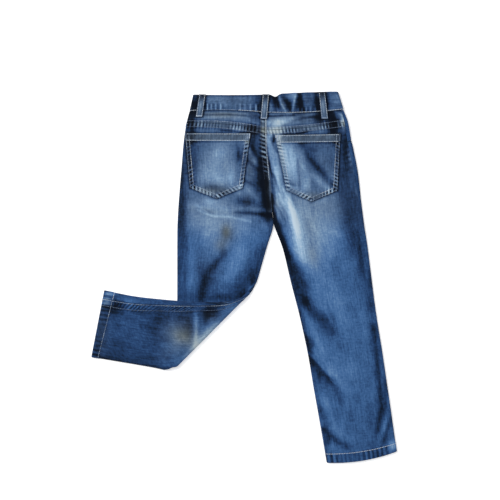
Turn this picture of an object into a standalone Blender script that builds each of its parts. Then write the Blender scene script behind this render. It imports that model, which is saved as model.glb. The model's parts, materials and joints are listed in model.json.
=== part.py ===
"""A child's skinny jeans laid face down, with the wearer's left leg folded over at the knee.

Units in the tables are millimetres, and the scene is in metres. +Z is up and +Y points to the waist.
The back faces up, so the wearer's left is at -X. Each half of the jeans is a flattened tube lofted
through rows: a row is a line from the outer edge (side seam) to the inner edge (centre seam, then
inseam), and a panel is a wall that follows the tube's outline from one seam to the next.
"""

import math
from collections import namedtuple

import bmesh
import bpy
import numpy as np
from mathutils.bvhtree import BVHTree

MM = 0.001

# Cloth
WALL = 1.5  # one layer of denim
HEM_WALL = 2.1  # the hem is turned up twice
EDGE_WALL = 1.4  # any wall is this thin where it rolls round an edge
HEM_HEIGHT = 16.5
WAISTBAND_WALL = 2.4
SEAM_GAP = 0.3
PATCH_GAP = 0.35  # under a patch pocket
LOFT = 5.2  # floor face to top face where the panels lie on each other
CROWN = 1.0  # how much the middle of a panel stands above its edges
EDGE_REACH = 3.8  # how far a rolled edge reaches in from the outline
LAP = 10.0  # width of a felled seam
LAP_RISE = 0.6
HEM_RISE = 0.4

# The waist stands a little off the floor, on its front loops and button
WAIST_Y = 312.0
WAIST_LIFT = 1.9
WAIST_LIFT_FLAT = 24.0
WAIST_LIFT_FADE = 30.0
WAIST_RISE = 2.1
WAIST_RISE_FADE = 90.0
FRONT_DIP = 12.0  # the front waist is cut this much lower at the centre

# The fold at the knee
FOLD_GAP = 0.7
FOLD_CENTRE = LOFT + FOLD_GAP / 2
FOLD_OUT = (math.sqrt(0.5), -math.sqrt(0.5))  # across the fold, away from the leg
FOLD_STEPS = 8
COVER_TOP = -30.0  # the folded leg covers the thigh below this height
COVER_FADE = 16.0
DROP_START = -126.5  # left of the thigh's edge the folded leg sinks to the floor
DROP_RUN = 42.0

LAY_CENTRE = (-0.043, 6.216)  # middle of the outline in the tables' own frame

DEEPEST = -(LOFT - 2 * WALL - SEAM_GAP)  # a trough this deep nearly meets the front panel
INSEAM_CALM = 14.0  # folds fade out this near the inseam

# Rows of each half, waist to hem. bow moves a row's middle down the leg, roll is 0 where the inner
# edge is the flat centre seam and 1 where it is rolled, and the seams are measured along the
# outline from the edge's middle: plus is on the back face, minus on the front face.
Row = namedtuple("Row", "outer_x outer_y inner_x inner_y bow roll out_seam in_seam dip", defaults=[0.0])

# Where a panel's mesh has a row: place is its index in the table, turn its angle round the fold
Station = namedtuple("Station", "row place turn in_hem")

RIGHT_ROWS = [
    Row(184.4, 316.7, 38.9, 310.8, 3.0, 0, 6.0, 0.0),
    Row(193.0, 294.2, 38.5, 278.4, 3.0, 0, 9.0, 0.0),
    Row(199.8, 258.1, 39.4, 247.0, 0.0, 0, 10.0, 0.0),
    Row(210.9, 202.6, 44.0, 198.9, 0.0, 0, 9.0, 0.0),
    Row(216.8, 150.8, 49.2, 147.1, 0.0, 0, 6.0, 0.0),
    Row(222.6, 104.5, 54.7, 102.0, 0.0, 1, 2.0, 0.0),
    Row(229.4, 58.3, 71.8, 58.3, 0.0, 1, 0.0, -2.0),
    Row(236.8, -0.9, 86.6, -2.8, 0.0, 1, 0.0, -4.0),
    Row(245.1, -63.8, 103.2, -67.5, 0.0, 1, 0.0, -4.0),
    Row(255.3, -126.7, 117.7, -134.1, 0.0, 1, 0.0, -3.0),
    Row(264.6, -189.6, 129.1, -200.7, 1.0, 1, 0.0, -2.0),
    Row(273.8, -252.5, 141.0, -267.3, 3.0, 1, 0.0, -1.0),
    Row(282.7, -316.3, 153.2, -337.4, 6.5, 1, 0.0, 0.0),
]

LEFT_ROWS = [
    Row(-101.2, 313.6, 38.9, 310.8, -3.0, 0, -2.0, 0.0),
    Row(-106.7, 291.4, 38.5, 278.4, -4.5, 0, -3.0, 0.0),
    Row(-111.9, 258.1, 39.4, 247.0, -1.0, 0, -3.0, 0.0),
    Row(-116.6, 202.6, 44.0, 198.9, 0.0, 0, -3.0, 0.0),
    Row(-121.2, 147.1, 49.2, 147.1, 0.0, 0, -2.0, 0.0),
    Row(-123.6, 102.7, 51.9, 102.0, 0.0, 1, -1.0, 0.0),
    Row(-124.0, 65.7, 42.6, 63.8, 0.0, 1, 0.0, -3.0),
    Row(-124.0, 21.3, 31.5, 25.0, 0.0, 1, 0.0, -6.0),
    Row(-124.0, -34.2, 27.4, 10.2, 0.0, 1, 0.0, -7.0),
    Row(-124.0, -93.4, 24.8, 1.9, 0.0, 1, 0.0, -8.0),
    Row(-124.9, -151.0, 23.1, -3.0, 0.0, 1, 0.0, -9.0),
]

# The folded part of the left leg, where it lies: fold to hem
TURNED_ROWS = [
    Row(-131.8, -160.2, -3.7, -30.4, 0.0, 1, 0.0, -9.0),
    Row(-146.2, -164.6, -29.6, -38.4, 0.0, 1, 0.0, -9.0),
    Row(-173.9, -160.0, -72.2, -39.2, 0.0, 1, 0.0, -10.0),
    Row(-205.4, -154.5, -124.0, -36.8, 0.0, 1, 0.0, -12.0),
    Row(-244.2, -148.0, -198.0, -29.6, 0.0, 1, 0.0, -15.0),
    Row(-283.1, -141.5, -259.0, -17.6, 0.0, 1, 0.0, -17.0),
]

# The largest folds of the cloth: a soft ridge (plus) or trough (minus) along a line
Fold = namedtuple("Fold", "x0 y0 x1 y1 width height")

SEAT_FOLDS = [
    Fold(36, 240, 46, 112, 9, -2.4),
    Fold(58, 250, 66, 130, 8, 2.2),
    Fold(70, 190, 108, 60, 16, 2.4),
    Fold(118, 240, 160, 178, 8, -2.0),
    Fold(98, 214, 112, 176, 7, 1.6),
    Fold(142, 228, 150, 214, 7, 1.4),
    Fold(8, 240, 24, 212, 5, 1.5),
    Fold(0, 196, 26, 164, 6, 1.2),
    Fold(-96, 138, 26, 126, 7, 2.6),
    Fold(-10, 116, 44, 120, 6, -2.0),
    Fold(186, 268, 190, 196, 8, -1.6),
]

THIGH_FOLDS = [
    Fold(-26, 76, -52, 14, 9, -2.2),
    Fold(-52, 14, -70, -20, 8, -2.0),
    Fold(4, 52, -20, 8, 11, 1.8),
    Fold(-86, 60, -96, 0, 16, 1.4),
]

RIGHT_LEG_FOLDS = [
    Fold(92, -24, 160, -88, 10, -1.8),
    Fold(130, 24, 176, -30, 12, 1.6),
    Fold(128, -152, 178, -204, 8, -2.0),
    Fold(150, -120, 196, -170, 12, 1.6),
    Fold(150, -282, 184, -308, 6, -1.8),
    Fold(146, -256, 176, -284, 7, 1.5),
    Fold(250, -214, 264, -292, 7, -1.6),
    Fold(272, -242, 258, -286, 5, 1.5),
    Fold(206, 40, 238, -110, 12, -1.0),
]

TURNED_FOLDS = [
    Fold(-88, -78, -89, -118, 5, 1.4),
    Fold(-70, -60, -64, -104, 8, -1.4),
    Fold(-118, -66, -122, -126, 12, 1.2),
    Fold(-196, -60, -214, -132, 16, 1.2),
    Fold(-160, -52, -172, -112, 9, -1.0),
]

# The elastic gathers the waistband between the centre and right loops, and little elsewhere
Gather = namedtuple("Gather", "x width height")

GATHERS = [
    Gather(59, 4.5, -1.0),
    Gather(69, 4.5, 2.0),
    Gather(80, 5.0, -1.0),
    Gather(92, 5.0, 2.3),
    Gather(103, 5.0, -0.9),
    Gather(113, 5.5, 1.5),
    Gather(123, 4.0, 0.9),
    Gather(133, 4.5, -0.8),
    Gather(161, 6.0, 0.8),
] + [Gather(-62 + 9.5 * n, 2.6, 0.55) for n in range(9)]

WAIST_TOP = {"left": (-94.4, 344.5), "centre": (39.8, 344.3), "right": (173.9, 350.0)}
WAIST_TOP_BOW = {"left": 1.0, "right": -0.8}
WAIST_NOTCH = Gather(57.5, 7.0, 5.0)
WAISTBAND_STEP = 0.5  # its extra layers stand above the yoke

# Patch pockets: the five corners, and the turned hem along the top
Pocket = namedtuple("Pocket", "top_out top_in low_in point low_out")
POCKETS = {
    "left": Pocket((-110.0, 273.0), (12.0, 272.5), (-2.0, 171.5), (-51.0, 150.8), (-101.0, 171.5)),
    "right": Pocket((178.5, 271.5), (56.8, 269.3), (78.0, 166.5), (124.8, 145.6), (173.0, 166.5)),
}
POCKET_WALL = 1.3
PATCH_REACH = 7.0  # a patch clears the highest point of the panel this near to each of its own
POCKET_HEM = 13.0
POCKET_HEM_RISE = 0.5

# Belt loops: middle of the top and lower ends, on the back and on the hidden front
Loop = namedtuple("Loop", "top_x top_y low_x low_y")
BACK_LOOPS = {
    "back_left": Loop(-77.0, 344.3, -83.2, 302.4),
    "back_centre": Loop(40.0, 344.3, 36.4, 298.4),
    "back_right": Loop(143.4, 348.8, 149.0, 298.8),
}
FRONT_LOOPS = {
    "front_left": Loop(-44.0, 338.0, -46.0, 297.0),
    "front_right": Loop(124.0, 340.0, 126.0, 299.0),
}
LOOP_WIDTH = 12.5
LOOP_WALL = 1.4
LOOP_ARCH = 1.3
LOOP_DOME = 0.3
LOOP_CLEAR = 1.2  # above the waistband at a loop's ends, over the tops of the gathers
LOOP_BAND_SHARE = 0.84  # how much of a loop lies over the waistband

# Scoop pockets on the front: how far in and how far down their mouths reach
SCOOP_WIDTH = 52.0
SCOOP_DEPTH = 62.0
SCOOP_POWER = 2.3
SCOOP_LEAST = 3.0
FACING_STEP = 0.9

BUTTON_RADIUS = 8.0
BUTTON_THICKNESS = 1.4
BUTTON_RIM = 2.0
BUTTON_BEVEL = 0.4
BUTTON_BELOW_TOP = 16.0  # from the front waistband's top edge to the button's middle

# Mesh density
ROW_STEP = 20.0
ROLL_POINTS = 5
FLAT_WEIGHT = 0.12  # how few points fall on the flat beside a rolled edge
STEP_RUN = 0.4  # half the length of the small ramp at the edge of a lap or hem
HIP_STEPS = 3  # between one table row and the next beside the scoop pockets
HIP_Y = 280.0
WAIST_STEPS = 5
LOOP_STEPS = 8
BUTTON_STEPS = 24
BACK_FLAT_POINTS = 8
FRONT_FLAT_POINTS = 4
WAIST_BACK_POINTS = 28
WAIST_FRONT_POINTS = 7
FACING_POINTS = 12
POCKET_ACROSS = 11
POCKET_DOWN = 7

QUARTER = math.pi / 2 * math.sqrt((EDGE_REACH**2 + (LOFT / 2) ** 2) / 2)
FLAT_RUN = 3.0
RUN_END = QUARTER + FLAT_RUN  # path length from an edge's middle to the start of the flat

COLOURS = {
    "denim": ((0.115, 0.215, 0.43, 1.0), 0.88, 0.0),
    "metal": ((0.42, 0.36, 0.3, 1.0), 0.38, 1.0),
}


def smooth_step(value):
    t = np.clip(value, 0.0, 1.0)
    return t * t * (3 - 2 * t)


def fold_height(folds, x, y):
    """Sum of the soft ridges and troughs at (x, y)."""
    total = np.zeros_like(x)
    for fold in folds:
        along = np.array([fold.x1 - fold.x0, fold.y1 - fold.y0], float)
        length = math.hypot(*along)
        along /= length
        run = (x - fold.x0) * along[0] + (y - fold.y0) * along[1]
        across = (x - fold.x0) * along[1] - (y - fold.y0) * along[0]
        beyond = np.maximum(np.maximum(-run, run - length), 0)
        total += fold.height * np.exp(-(across**2 + 0.5 * beyond**2) / fold.width**2)
    return total


def gather_height(x):
    return sum(g.height * np.exp(-(((x - g.x) / g.width) ** 2)) for g in GATHERS)


def floor_height(y):
    """Height of the floor side: zero but for the lifted waist."""
    return WAIST_LIFT * (1 - smooth_step((WAIST_Y - WAIST_LIFT_FLAT - y) / WAIST_LIFT_FADE))


def outline_x(rows, y, edge):
    """Where the outer or inner edge lies at a height y."""
    heights = np.array([getattr(r, edge + "_y") for r in rows])[::-1]
    places = np.array([getattr(r, edge + "_x") for r in rows])[::-1]
    return np.interp(y, heights, places)


def top_height(side, x, y):
    """Height of the back face above the floor, from its place."""
    rows = RIGHT_ROWS if side == "right" else LEFT_ROWS
    outer = outline_x(rows, y, "outer")
    inner = outline_x(rows, y, "inner")
    share = np.clip((x - outer) / (inner - outer), 0, 1)
    in_leg = smooth_step((110 - y) / 30)
    crown = CROWN * ((1 - in_leg) * share * (2 - share) + in_leg * 4 * share * (1 - share))
    folds = np.maximum(fold_height(SEAT_FOLDS + THIGH_FOLDS + RIGHT_LEG_FOLDS, x, y), DEEPEST)
    from_inseam = abs(inner - x)
    folds = folds * (1 - smooth_step((135 - y) / 20) * (1 - smooth_step(from_inseam / INSEAM_CALM)))
    if side == "left":
        shown = smooth_step((y - COVER_TOP) / COVER_FADE)
        crown = crown * shown
        folds = folds * shown
    folds = folds * smooth_step((WAIST_Y - 20 - y) / 20)
    rise = WAIST_RISE * (1 - smooth_step((WAIST_Y - 30 - y) / WAIST_RISE_FADE))
    return LOFT + crown + rise + folds


def edge_profile(path):
    """Follows a rolled edge. path runs along the outline from the edge's middle, plus to the back.

    Returns the distance in from the edge, the share of the loft and the normal's two parts."""
    angle = math.pi / 2 * np.clip(path / QUARTER, -1, 1)
    inset = EDGE_REACH * (1 - np.cos(angle)) + np.maximum(np.abs(path) - QUARTER, 0)
    share = (1 + np.sin(angle)) / 2
    out, up = np.cos(angle) / EDGE_REACH, np.sin(angle) / (LOFT / 2)
    size = np.hypot(out, up)
    return inset, share, out / size, up / size


def roll_path(start, end, count):
    """Path lengths from one to the other, closest together where the edge is rolled."""
    ruler = np.linspace(start, end, 200)
    turn = np.clip(ruler / QUARTER, -1, 1) + FLAT_WEIGHT * ruler / QUARTER
    wanted = np.linspace(turn[0], turn[-1], count)
    direction = 1 if end > start else -1
    return np.interp(direction * wanted, direction * turn, ruler)


def rolled_edge(seam, end, count, face):
    """The profile's columns from a seam to the flat, with half the seam's gap left open."""
    inset, share, out, up = edge_profile(roll_path(seam, end, count))
    inset[0] += face * up[0] * SEAM_GAP / 2
    share[0] += face * out[0] * SEAM_GAP / 2 / LOFT
    return np.column_stack([inset, share, out, up])


def panel_profile(width, row, face, flat_points, out_seam=None):
    """Distances in from the outer edge, loft shares and normals along one panel's row.

    face is 1 for a back panel and -1 for a front panel."""
    start = row.out_seam if out_seam is None else out_seam
    outer_end = face * max(RUN_END, face * start + FLAT_RUN)
    inner_end = face * max(RUN_END, face * row.in_seam + FLAT_RUN)
    first = rolled_edge(start, outer_end, ROLL_POINTS, face)
    first[:, 2] *= -1
    rolled = rolled_edge(row.in_seam, inner_end, ROLL_POINTS, face)[::-1]
    rolled[:, 0] = width - rolled[:, 0]
    level = (1 + face) / 2
    insets = np.array([LAP * 1.5, LAP + STEP_RUN, LAP - STEP_RUN, LAP / 2, SEAM_GAP / 2])
    ends = np.ones(ROLL_POINTS)
    plain = np.column_stack([width - insets, level * ends, 0 * ends, face * ends])
    last = (1 - row.roll) * plain + row.roll * rolled
    last[:, 2:] /= np.hypot(last[:, 2], last[:, 3])[:, None]
    spread = np.linspace(first[-1, 0], last[0, 0], flat_points + 2)[1:-1]
    level_up = np.full(flat_points, float(face))
    middle = np.column_stack([spread, np.full(flat_points, level), np.zeros(flat_points), level_up])
    return np.vstack([first, middle, last])


def row_places(row, distances):
    """Points of a row in plan, at distances in from its outer edge."""
    start = np.array([row.outer_x, row.outer_y])
    along = np.array([row.inner_x, row.inner_y]) - start
    width = math.hypot(*along)
    along /= width
    down = np.array([-along[1], along[0]]) * (-1 if row.inner_x > row.outer_x else 1)
    share = np.clip(distances / width, 0, 1)
    sag = row.bow * 4 * share * (1 - share) + row.dip * share**2
    return start + distances[:, None] * along + sag[:, None] * down


def row_width(row):
    return math.hypot(row.inner_x - row.outer_x, row.inner_y - row.outer_y)


def turned_height(row, places, distances):
    """How far the face that shows on the folded leg stands above its plain level."""
    share = np.clip(distances / row_width(row), 0, 1)
    from_fold = (places - np.array([TURNED_ROWS[0].outer_x, TURNED_ROWS[0].outer_y])) @ -np.array(FOLD_OUT)
    shown = smooth_step(from_fold / 14)
    return shown * (CROWN * 4 * share * (1 - share) + fold_height(TURNED_FOLDS, *places.T))


def sink(points):
    """The folded leg slopes down to the floor past the thigh's edge."""
    share = smooth_step((DROP_START - points[:, 0]) / DROP_RUN)
    points[:, 2] -= share * np.minimum(points[:, 2], LOFT + FOLD_GAP)
    return points


def lay_row(side, row, turn, profile, wall, rise):
    """Outer and inner points of one row of a panel. turn is the angle travelled round the fold."""
    distances, share, out, up = profile.T
    places = row_places(row, distances)
    if turn == 0:
        back = top_height(side, *places.T)
        front = floor_height(places[:, 1])
    else:
        back = np.full(len(distances), LOFT)
        front = -turned_height(row, places, distances) * (turn == math.pi)
    back = np.maximum(back, front + 2 * wall + 1.5 * SEAM_GAP)
    level = back * share + front * (1 - share)
    start = np.array([row.outer_x, row.outer_y])
    along = (np.array([row.inner_x, row.inner_y]) - start) / row_width(row)
    made = []
    for depth in (-rise, np.minimum(wall, EDGE_WALL + 0.7 * abs(up) ** 3)):
        plan = places - (depth * out)[:, None] * along
        radius = FOLD_CENTRE - (level - depth * up)
        plan = plan + (radius * math.sin(turn))[:, None] * np.array(FOLD_OUT)
        points = np.column_stack([plan, FOLD_CENTRE - radius * math.cos(turn)])
        made.append(sink(points) if turn else points)
    return made


def blend_row(rows, place):
    """A Catmull-Rom row at a fractional index into the table, straight along the centre seam."""
    n = min(int(place), len(rows) - 2)
    t = place - n
    before, here, after, beyond = (np.array(rows[min(max(n + k, 0), len(rows) - 1)]) for k in (-1, 0, 1, 2))
    if n == 0:
        before = 2 * here - after
    if n == len(rows) - 2:
        beyond = 2 * after - here
    bend = 2 * here + (after - before) * t
    bend += (2 * before - 5 * here + 4 * after - beyond) * t**2
    bend += (3 * here - before - 3 * after + beyond) * t**3
    values = Row(*(bend / 2))
    if not here[5]:
        straight = Row(*(here + (after - here) * t))
        values = values._replace(inner_x=straight.inner_x, inner_y=straight.inner_y)
    return values._replace(roll=float(here[5] + (after[5] - here[5]) * smooth_step(t)))


def middle_step(rows, n):
    """Distance between the middles of two neighbouring rows."""
    one, two = np.array(rows[n][:4]), np.array(rows[n + 1][:4])
    return math.hypot(*((two - one)[:2] + (two - one)[2:]) / 2)


def row_indices(rows, first, last):
    """Fractional indices from one table row to another, about ROW_STEP apart."""
    places = [float(first)]
    for n in range(first, last):
        count = HIP_STEPS if rows[n].outer_y > HIP_Y else max(1, round(middle_step(rows, n) / ROW_STEP))
        places += [n + (k + 1) / count for k in range(count)]
    return places


def shifted(rows, place, distance):
    """The index that lies this far down the leg from place."""
    n = min(int(place), len(rows) - 2) if distance > 0 else max(math.ceil(place) - 1, 0)
    return place + distance / middle_step(rows, n)


def hem_indices(rows):
    """Indices of the rows that end the plain leg and make the hem's step."""
    last = float(len(rows) - 1)
    return [shifted(rows, last, -HEM_HEIGHT - 2 * STEP_RUN), shifted(rows, last, -HEM_HEIGHT), last]


def hemmed_stations(rows, first, turn):
    """The stations from a table row down to the leg's end, the last two of them in the hem."""
    hem = hem_indices(rows)
    plain = [p for p in row_indices(rows, first, len(rows) - 1) if p < hem[0] - 0.1]
    return [Station(blend_row(rows, p), p, turn, p >= hem[1]) for p in plain + hem]


def leg_stations(side, first):
    """All the stations of a half, from a table row down to the hem."""
    if side == "right":
        return hemmed_stations(RIGHT_ROWS, first, 0.0)
    places = row_indices(LEFT_ROWS, first, len(LEFT_ROWS) - 1)
    stations = [Station(blend_row(LEFT_ROWS, p), p, 0.0, False) for p in places]
    start, end = np.array(LEFT_ROWS[-1]), np.array(TURNED_ROWS[0])
    for step in range(1, FOLD_STEPS):
        share = step / FOLD_STEPS
        stations.append(Station(Row(*(start + (end - start) * share)), places[-1], math.pi * share, False))
    return stations + hemmed_stations(TURNED_ROWS, 0, math.pi)


def new_object(name, mesh, material):
    obj = bpy.data.objects.new(name, mesh)
    bpy.context.scene.collection.objects.link(obj)
    mesh.materials.append(bpy.data.materials[material])
    return obj


def wall_object(name, outer, inner, material):
    """A closed wall between two grids of points, rows by columns, in millimetres."""
    outer, inner = np.array(outer), np.array(inner)
    rows, columns = outer.shape[:2]
    mesh = bmesh.new()
    centre = np.array([*LAY_CENTRE, 0.0])
    skins = [
        [[mesh.verts.new((skin[r, c] - centre) * MM) for c in range(columns)] for r in range(rows)]
        for skin in (outer, inner)
    ]
    for r in range(rows - 1):
        for c in range(columns - 1):
            for skin, turn in ((skins[0], 1), (skins[1], -1)):
                corners = (skin[r][c], skin[r + 1][c], skin[r + 1][c + 1], skin[r][c + 1])
                mesh.faces.new(corners[::turn])
    rim = [(0, c) for c in range(columns)] + [(r, columns - 1) for r in range(1, rows)]
    rim += [(rows - 1, c) for c in range(columns - 2, -1, -1)] + [(r, 0) for r in range(rows - 2, 0, -1)]
    for (r0, c0), (r1, c1) in zip(rim, rim[1:] + rim[:1]):
        mesh.faces.new((skins[0][r0][c0], skins[0][r1][c1], skins[1][r1][c1], skins[1][r0][c0]))
    if mesh.calc_volume(signed=True) < 0:
        bmesh.ops.reverse_faces(mesh, faces=mesh.faces)
    data = bpy.data.meshes.new(name)
    mesh.to_mesh(data)
    mesh.free()
    data.shade_smooth()
    data.set_sharp_from_angle(angle=math.radians(50))
    return new_object(name, data, material)


def lap_rise(row, profile, in_hem):
    """Extra height along the felled centre seam, and over a hem."""
    near_centre = row_width(row) - profile[:, 0] < LAP
    raised = np.where(near_centre & (row.roll < 0.5), LAP_RISE, 0.0)
    return np.maximum(raised, HEM_RISE if in_hem else 0.0)


def make_back_piece(name, side, stations):
    """A piece of the back, whose centre seam and hem stand a little proud."""
    walls = []
    for row, _, turn, in_hem in stations:
        profile = panel_profile(row_width(row), row, 1, BACK_FLAT_POINTS)
        rise = lap_rise(row, profile, in_hem)
        walls.append(lay_row(side, row, turn, profile, HEM_WALL if in_hem else WALL, rise))
    return wall_object(name, *zip(*walls), "denim")


def make_back(side):
    """The back panel, from the yoke seam to the hem."""
    rows = RIGHT_ROWS if side == "right" else LEFT_ROWS
    places = [shifted(rows, 1.0, d) for d in (SEAM_GAP / 2, LAP / 2 - STEP_RUN, LAP / 2 + STEP_RUN)]
    top = [Station(blend_row(rows, p), p, 0.0, False) for p in places]
    return make_back_piece(f"back_{side}", side, top + leg_stations(side, 1)[1:])


def make_yoke(side):
    """The V-shaped piece between the waistband and the back panel."""
    rows = RIGHT_ROWS if side == "right" else LEFT_ROWS
    between = [step / HIP_STEPS for step in range(1, HIP_STEPS)]
    places = [shifted(rows, 0.0, SEAM_GAP / 2), *between, shifted(rows, 1.0, -SEAM_GAP / 2)]
    stations = [Station(blend_row(rows, p), p, 0.0, False) for p in places]
    return make_back_piece(f"yoke_{side}", side, stations)


def front_row(station):
    """The same row on the front, whose waist is cut lower at the centre."""
    row = station.row
    if station.turn == 0 and station.place < 2:
        row = row._replace(dip=FRONT_DIP * (1 - station.place / 2))
    if station.turn == 0 and station.place == 0:
        row = row._replace(outer_y=row.outer_y - SEAM_GAP, inner_y=row.inner_y - SEAM_GAP)
    return row


def make_fronts(side):
    """The front panel, cut away at the scoop pocket, and the facing that fills the scoop."""
    front, facing = [], []
    for station in leg_stations(side, 0):
        row = front_row(station)
        down = (LEFT_ROWS if side == "left" else RIGHT_ROWS)[0].outer_y - row.outer_y
        scoop = (row.out_seam + QUARTER + SCOOP_WIDTH) * (1 - min(down / SCOOP_DEPTH, 1.0) ** SCOOP_POWER)
        open_here = scoop > SCOOP_LEAST and station.turn == 0
        seam = row.out_seam - scoop if open_here else row.out_seam
        wall = HEM_WALL if station.in_hem else WALL
        profile = panel_profile(row_width(row), row, -1, FRONT_FLAT_POINTS, out_seam=seam)
        front.append(lay_row(side, row, station.turn, profile, wall, 0 * profile[:, 0]))
        if open_here:
            profile = rolled_edge(row.out_seam, seam + SEAM_GAP, FACING_POINTS, -1)
            profile[:, 2] *= -1
            depth = np.full(FACING_POINTS, FACING_STEP)
            facing.append(lay_row(side, row, 0.0, profile, WALL + FACING_STEP, -depth))
    wall_object(f"front_{side}", *zip(*front), "denim")
    wall_object(f"pocket_facing_{side}", *zip(*facing), "denim")


def waist_edges(side):
    """Top and lower rows of the waistband on one half."""
    seam = (RIGHT_ROWS if side == "right" else LEFT_ROWS)[0]
    outer, centre = WAIST_TOP[side], WAIST_TOP["centre"]
    top = seam._replace(
        outer_x=outer[0], outer_y=outer[1], inner_x=centre[0], inner_y=centre[1], bow=WAIST_TOP_BOW[side]
    )
    return top, seam


def waist_half(side, share):
    """One row of the waistband on one half, from the front centre round the edge to the back centre."""
    top, low = (np.array(r) for r in waist_edges(side))
    row = Row(*(top + (low - top) * share))
    width, flat_start = row_width(row), RUN_END - QUARTER + EDGE_REACH
    flat_back = np.linspace(flat_start, width, WAIST_BACK_POINTS)[1:]
    flat_front = np.linspace(width - SEAM_GAP / 2, flat_start, WAIST_FRONT_POINTS)[:-1]
    inset, level, out, up = edge_profile(roll_path(-RUN_END, RUN_END, 2 * ROLL_POINTS - 1))
    roll = np.column_stack([inset, level, -out, up])
    front = np.column_stack([flat_front, 0 * flat_front, 0 * flat_front, -1 + 0 * flat_front])
    back = np.column_stack([flat_back, 1 + 0 * flat_back, 0 * flat_back, 1 + 0 * flat_back])
    profile = np.vstack([front, roll, back])
    dipped = row._replace(dip=FRONT_DIP)
    on_front = profile[:, 1:2] < 0.5
    return profile, np.where(on_front, row_places(dipped, profile[:, 0]), row_places(row, profile[:, 0]))


def waistband_top(x):
    """Height of the waistband's outer face on the back, without its gathers."""
    span = WAIST_TOP["right"][0] - WAIST_TOP["left"][0]
    share = np.clip(1 - abs(x - WAIST_TOP["centre"][0]) / (span / 2), 0, 1)
    return LOFT + CROWN * share + WAIST_RISE + WAISTBAND_STEP


def make_waistband():
    """One strip round the waist, whose ends meet at the centre front."""
    outer, inner = [], []
    for share in np.linspace(0, 1, WAIST_STEPS + 1):
        halves = []
        for side in ("left", "right"):
            profile, places = waist_half(side, share)
            along = 1 if side == "left" else -1
            notch = WAIST_NOTCH.height * np.exp(-(((places[:, 0] - WAIST_NOTCH.x) / WAIST_NOTCH.width) ** 2))
            places[:, 1] -= notch * profile[:, 1] * (1 - share) ** 2
            places[:, 1] += SEAM_GAP / 2 * (share == 1)
            top = waistband_top(places[:, 0]) + gather_height(places[:, 0]) * smooth_step(1.3 - share)
            level = top * profile[:, 1] + WAIST_LIFT * (1 - profile[:, 1])
            skins = []
            for depth in (0.0, WAISTBAND_WALL):
                x = places[:, 0] - along * depth * profile[:, 2]
                skins.append(np.column_stack([x, places[:, 1], level - depth * profile[:, 3]]))
            halves.append(skins)
        (left_out, left_in), (right_out, right_in) = halves
        outer.append(np.vstack([left_out, right_out[::-1][1:]]))
        inner.append(np.vstack([left_in, right_in[::-1][1:]]))
    return wall_object("waistband", outer, inner, "denim")


def height_under(tree, x, y, reach):
    """The highest point of a panel's mesh within reach of (x, y), from above."""
    found = []
    for dx in (-reach, 0, reach):
        for dy in (-reach, 0, reach):
            place = ((x + dx - LAY_CENTRE[0]) * MM, (y + dy - LAY_CENTRE[1]) * MM, 0.1)
            hit = tree.ray_cast(place, (0, 0, -1))[0]
            if hit:
                found.append(hit.z / MM)
    return max(found)


def make_pocket(side, panel):
    """A patch pocket with a pointed lower edge and a turned hem, on the back panel."""
    mesh = bmesh.new()
    mesh.from_mesh(panel.data)
    tree = BVHTree.FromBMesh(mesh)
    mesh.free()
    corners = Pocket(*(np.array(c) for c in POCKETS[side]))
    across = np.linspace(0, 1, POCKET_ACROSS)
    height = corners.top_in[1] - corners.low_in[1]
    hem = POCKET_HEM / height
    below_hem = np.linspace(hem, 1, POCKET_DOWN + 1)[1:]
    down = [0.0, hem, hem + 2 * STEP_RUN / height, *below_hem]
    outer, inner = [], []
    for b in down:
        rise = POCKET_HEM_RISE if b <= hem else 0.0
        top = corners.top_out + (corners.top_in - corners.top_out) * across[:, None]
        left = corners.low_out + (corners.point - corners.low_out) * (2 * across)[:, None]
        right = corners.point + (corners.low_in - corners.point) * (2 * across - 1)[:, None]
        low = np.where(across[:, None] < 0.5, left, right)
        plan = top + (low - top) * b
        seat = np.array([height_under(tree, x, y, PATCH_REACH) for x, y in plan]) + PATCH_GAP
        inner.append(np.column_stack([plan, seat]))
        outer.append(np.column_stack([plan, seat + POCKET_WALL + rise]))
    return wall_object(f"back_pocket_{side}", outer, inner, "denim")


def make_back_loop(name, loop):
    """A belt loop: a strip sewn down at both ends and arched clear of the waistband between."""
    across = np.array([-0.5, -0.25, 0.25, 0.5]) * LOOP_WIDTH
    yoke_top = LOFT + CROWN + WAIST_RISE + LAP_RISE
    band_top = waistband_top(loop.top_x) + LOOP_CLEAR
    outer, inner = [], []
    for t in np.linspace(0, 1, LOOP_STEPS + 1):
        x = loop.top_x + (loop.low_x - loop.top_x) * t + across
        y = loop.top_y + (loop.low_y - loop.top_y) * t + 0 * across
        on_band = smooth_step((LOOP_BAND_SHARE - t) / (1.5 * (1 - LOOP_BAND_SHARE)))
        arch = LOOP_ARCH * math.sin(math.pi * min(t / LOOP_BAND_SHARE, 1)) ** 0.5
        z = yoke_top + SEAM_GAP + (band_top - yoke_top) * on_band + arch
        dome = LOOP_DOME * (1 - (2 * across / LOOP_WIDTH) ** 2)
        outer.append(np.column_stack([x, y, z + LOOP_WALL + dome]))
        inner.append(np.column_stack([x, y, z + 0 * x]))
    return wall_object(f"belt_loop_{name}", outer, inner, "denim")


def make_front_loop(name, loop):
    """A belt loop pressed flat between the front waistband and the floor."""
    outer, inner = [], []
    for t in (0.0, 0.5, 1.0):
        x = loop.top_x + (loop.low_x - loop.top_x) * t + np.array([-0.5, 0.0, 0.5]) * LOOP_WIDTH
        y = loop.top_y + (loop.low_y - loop.top_y) * t + 0 * x
        outer.append(np.column_stack([x, y, 0 * x]))
        inner.append(np.column_stack([x, y, 0 * x + WAIST_LIFT - SEAM_GAP]))
    return wall_object(f"belt_loop_{name}", outer, inner, "denim")


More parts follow.
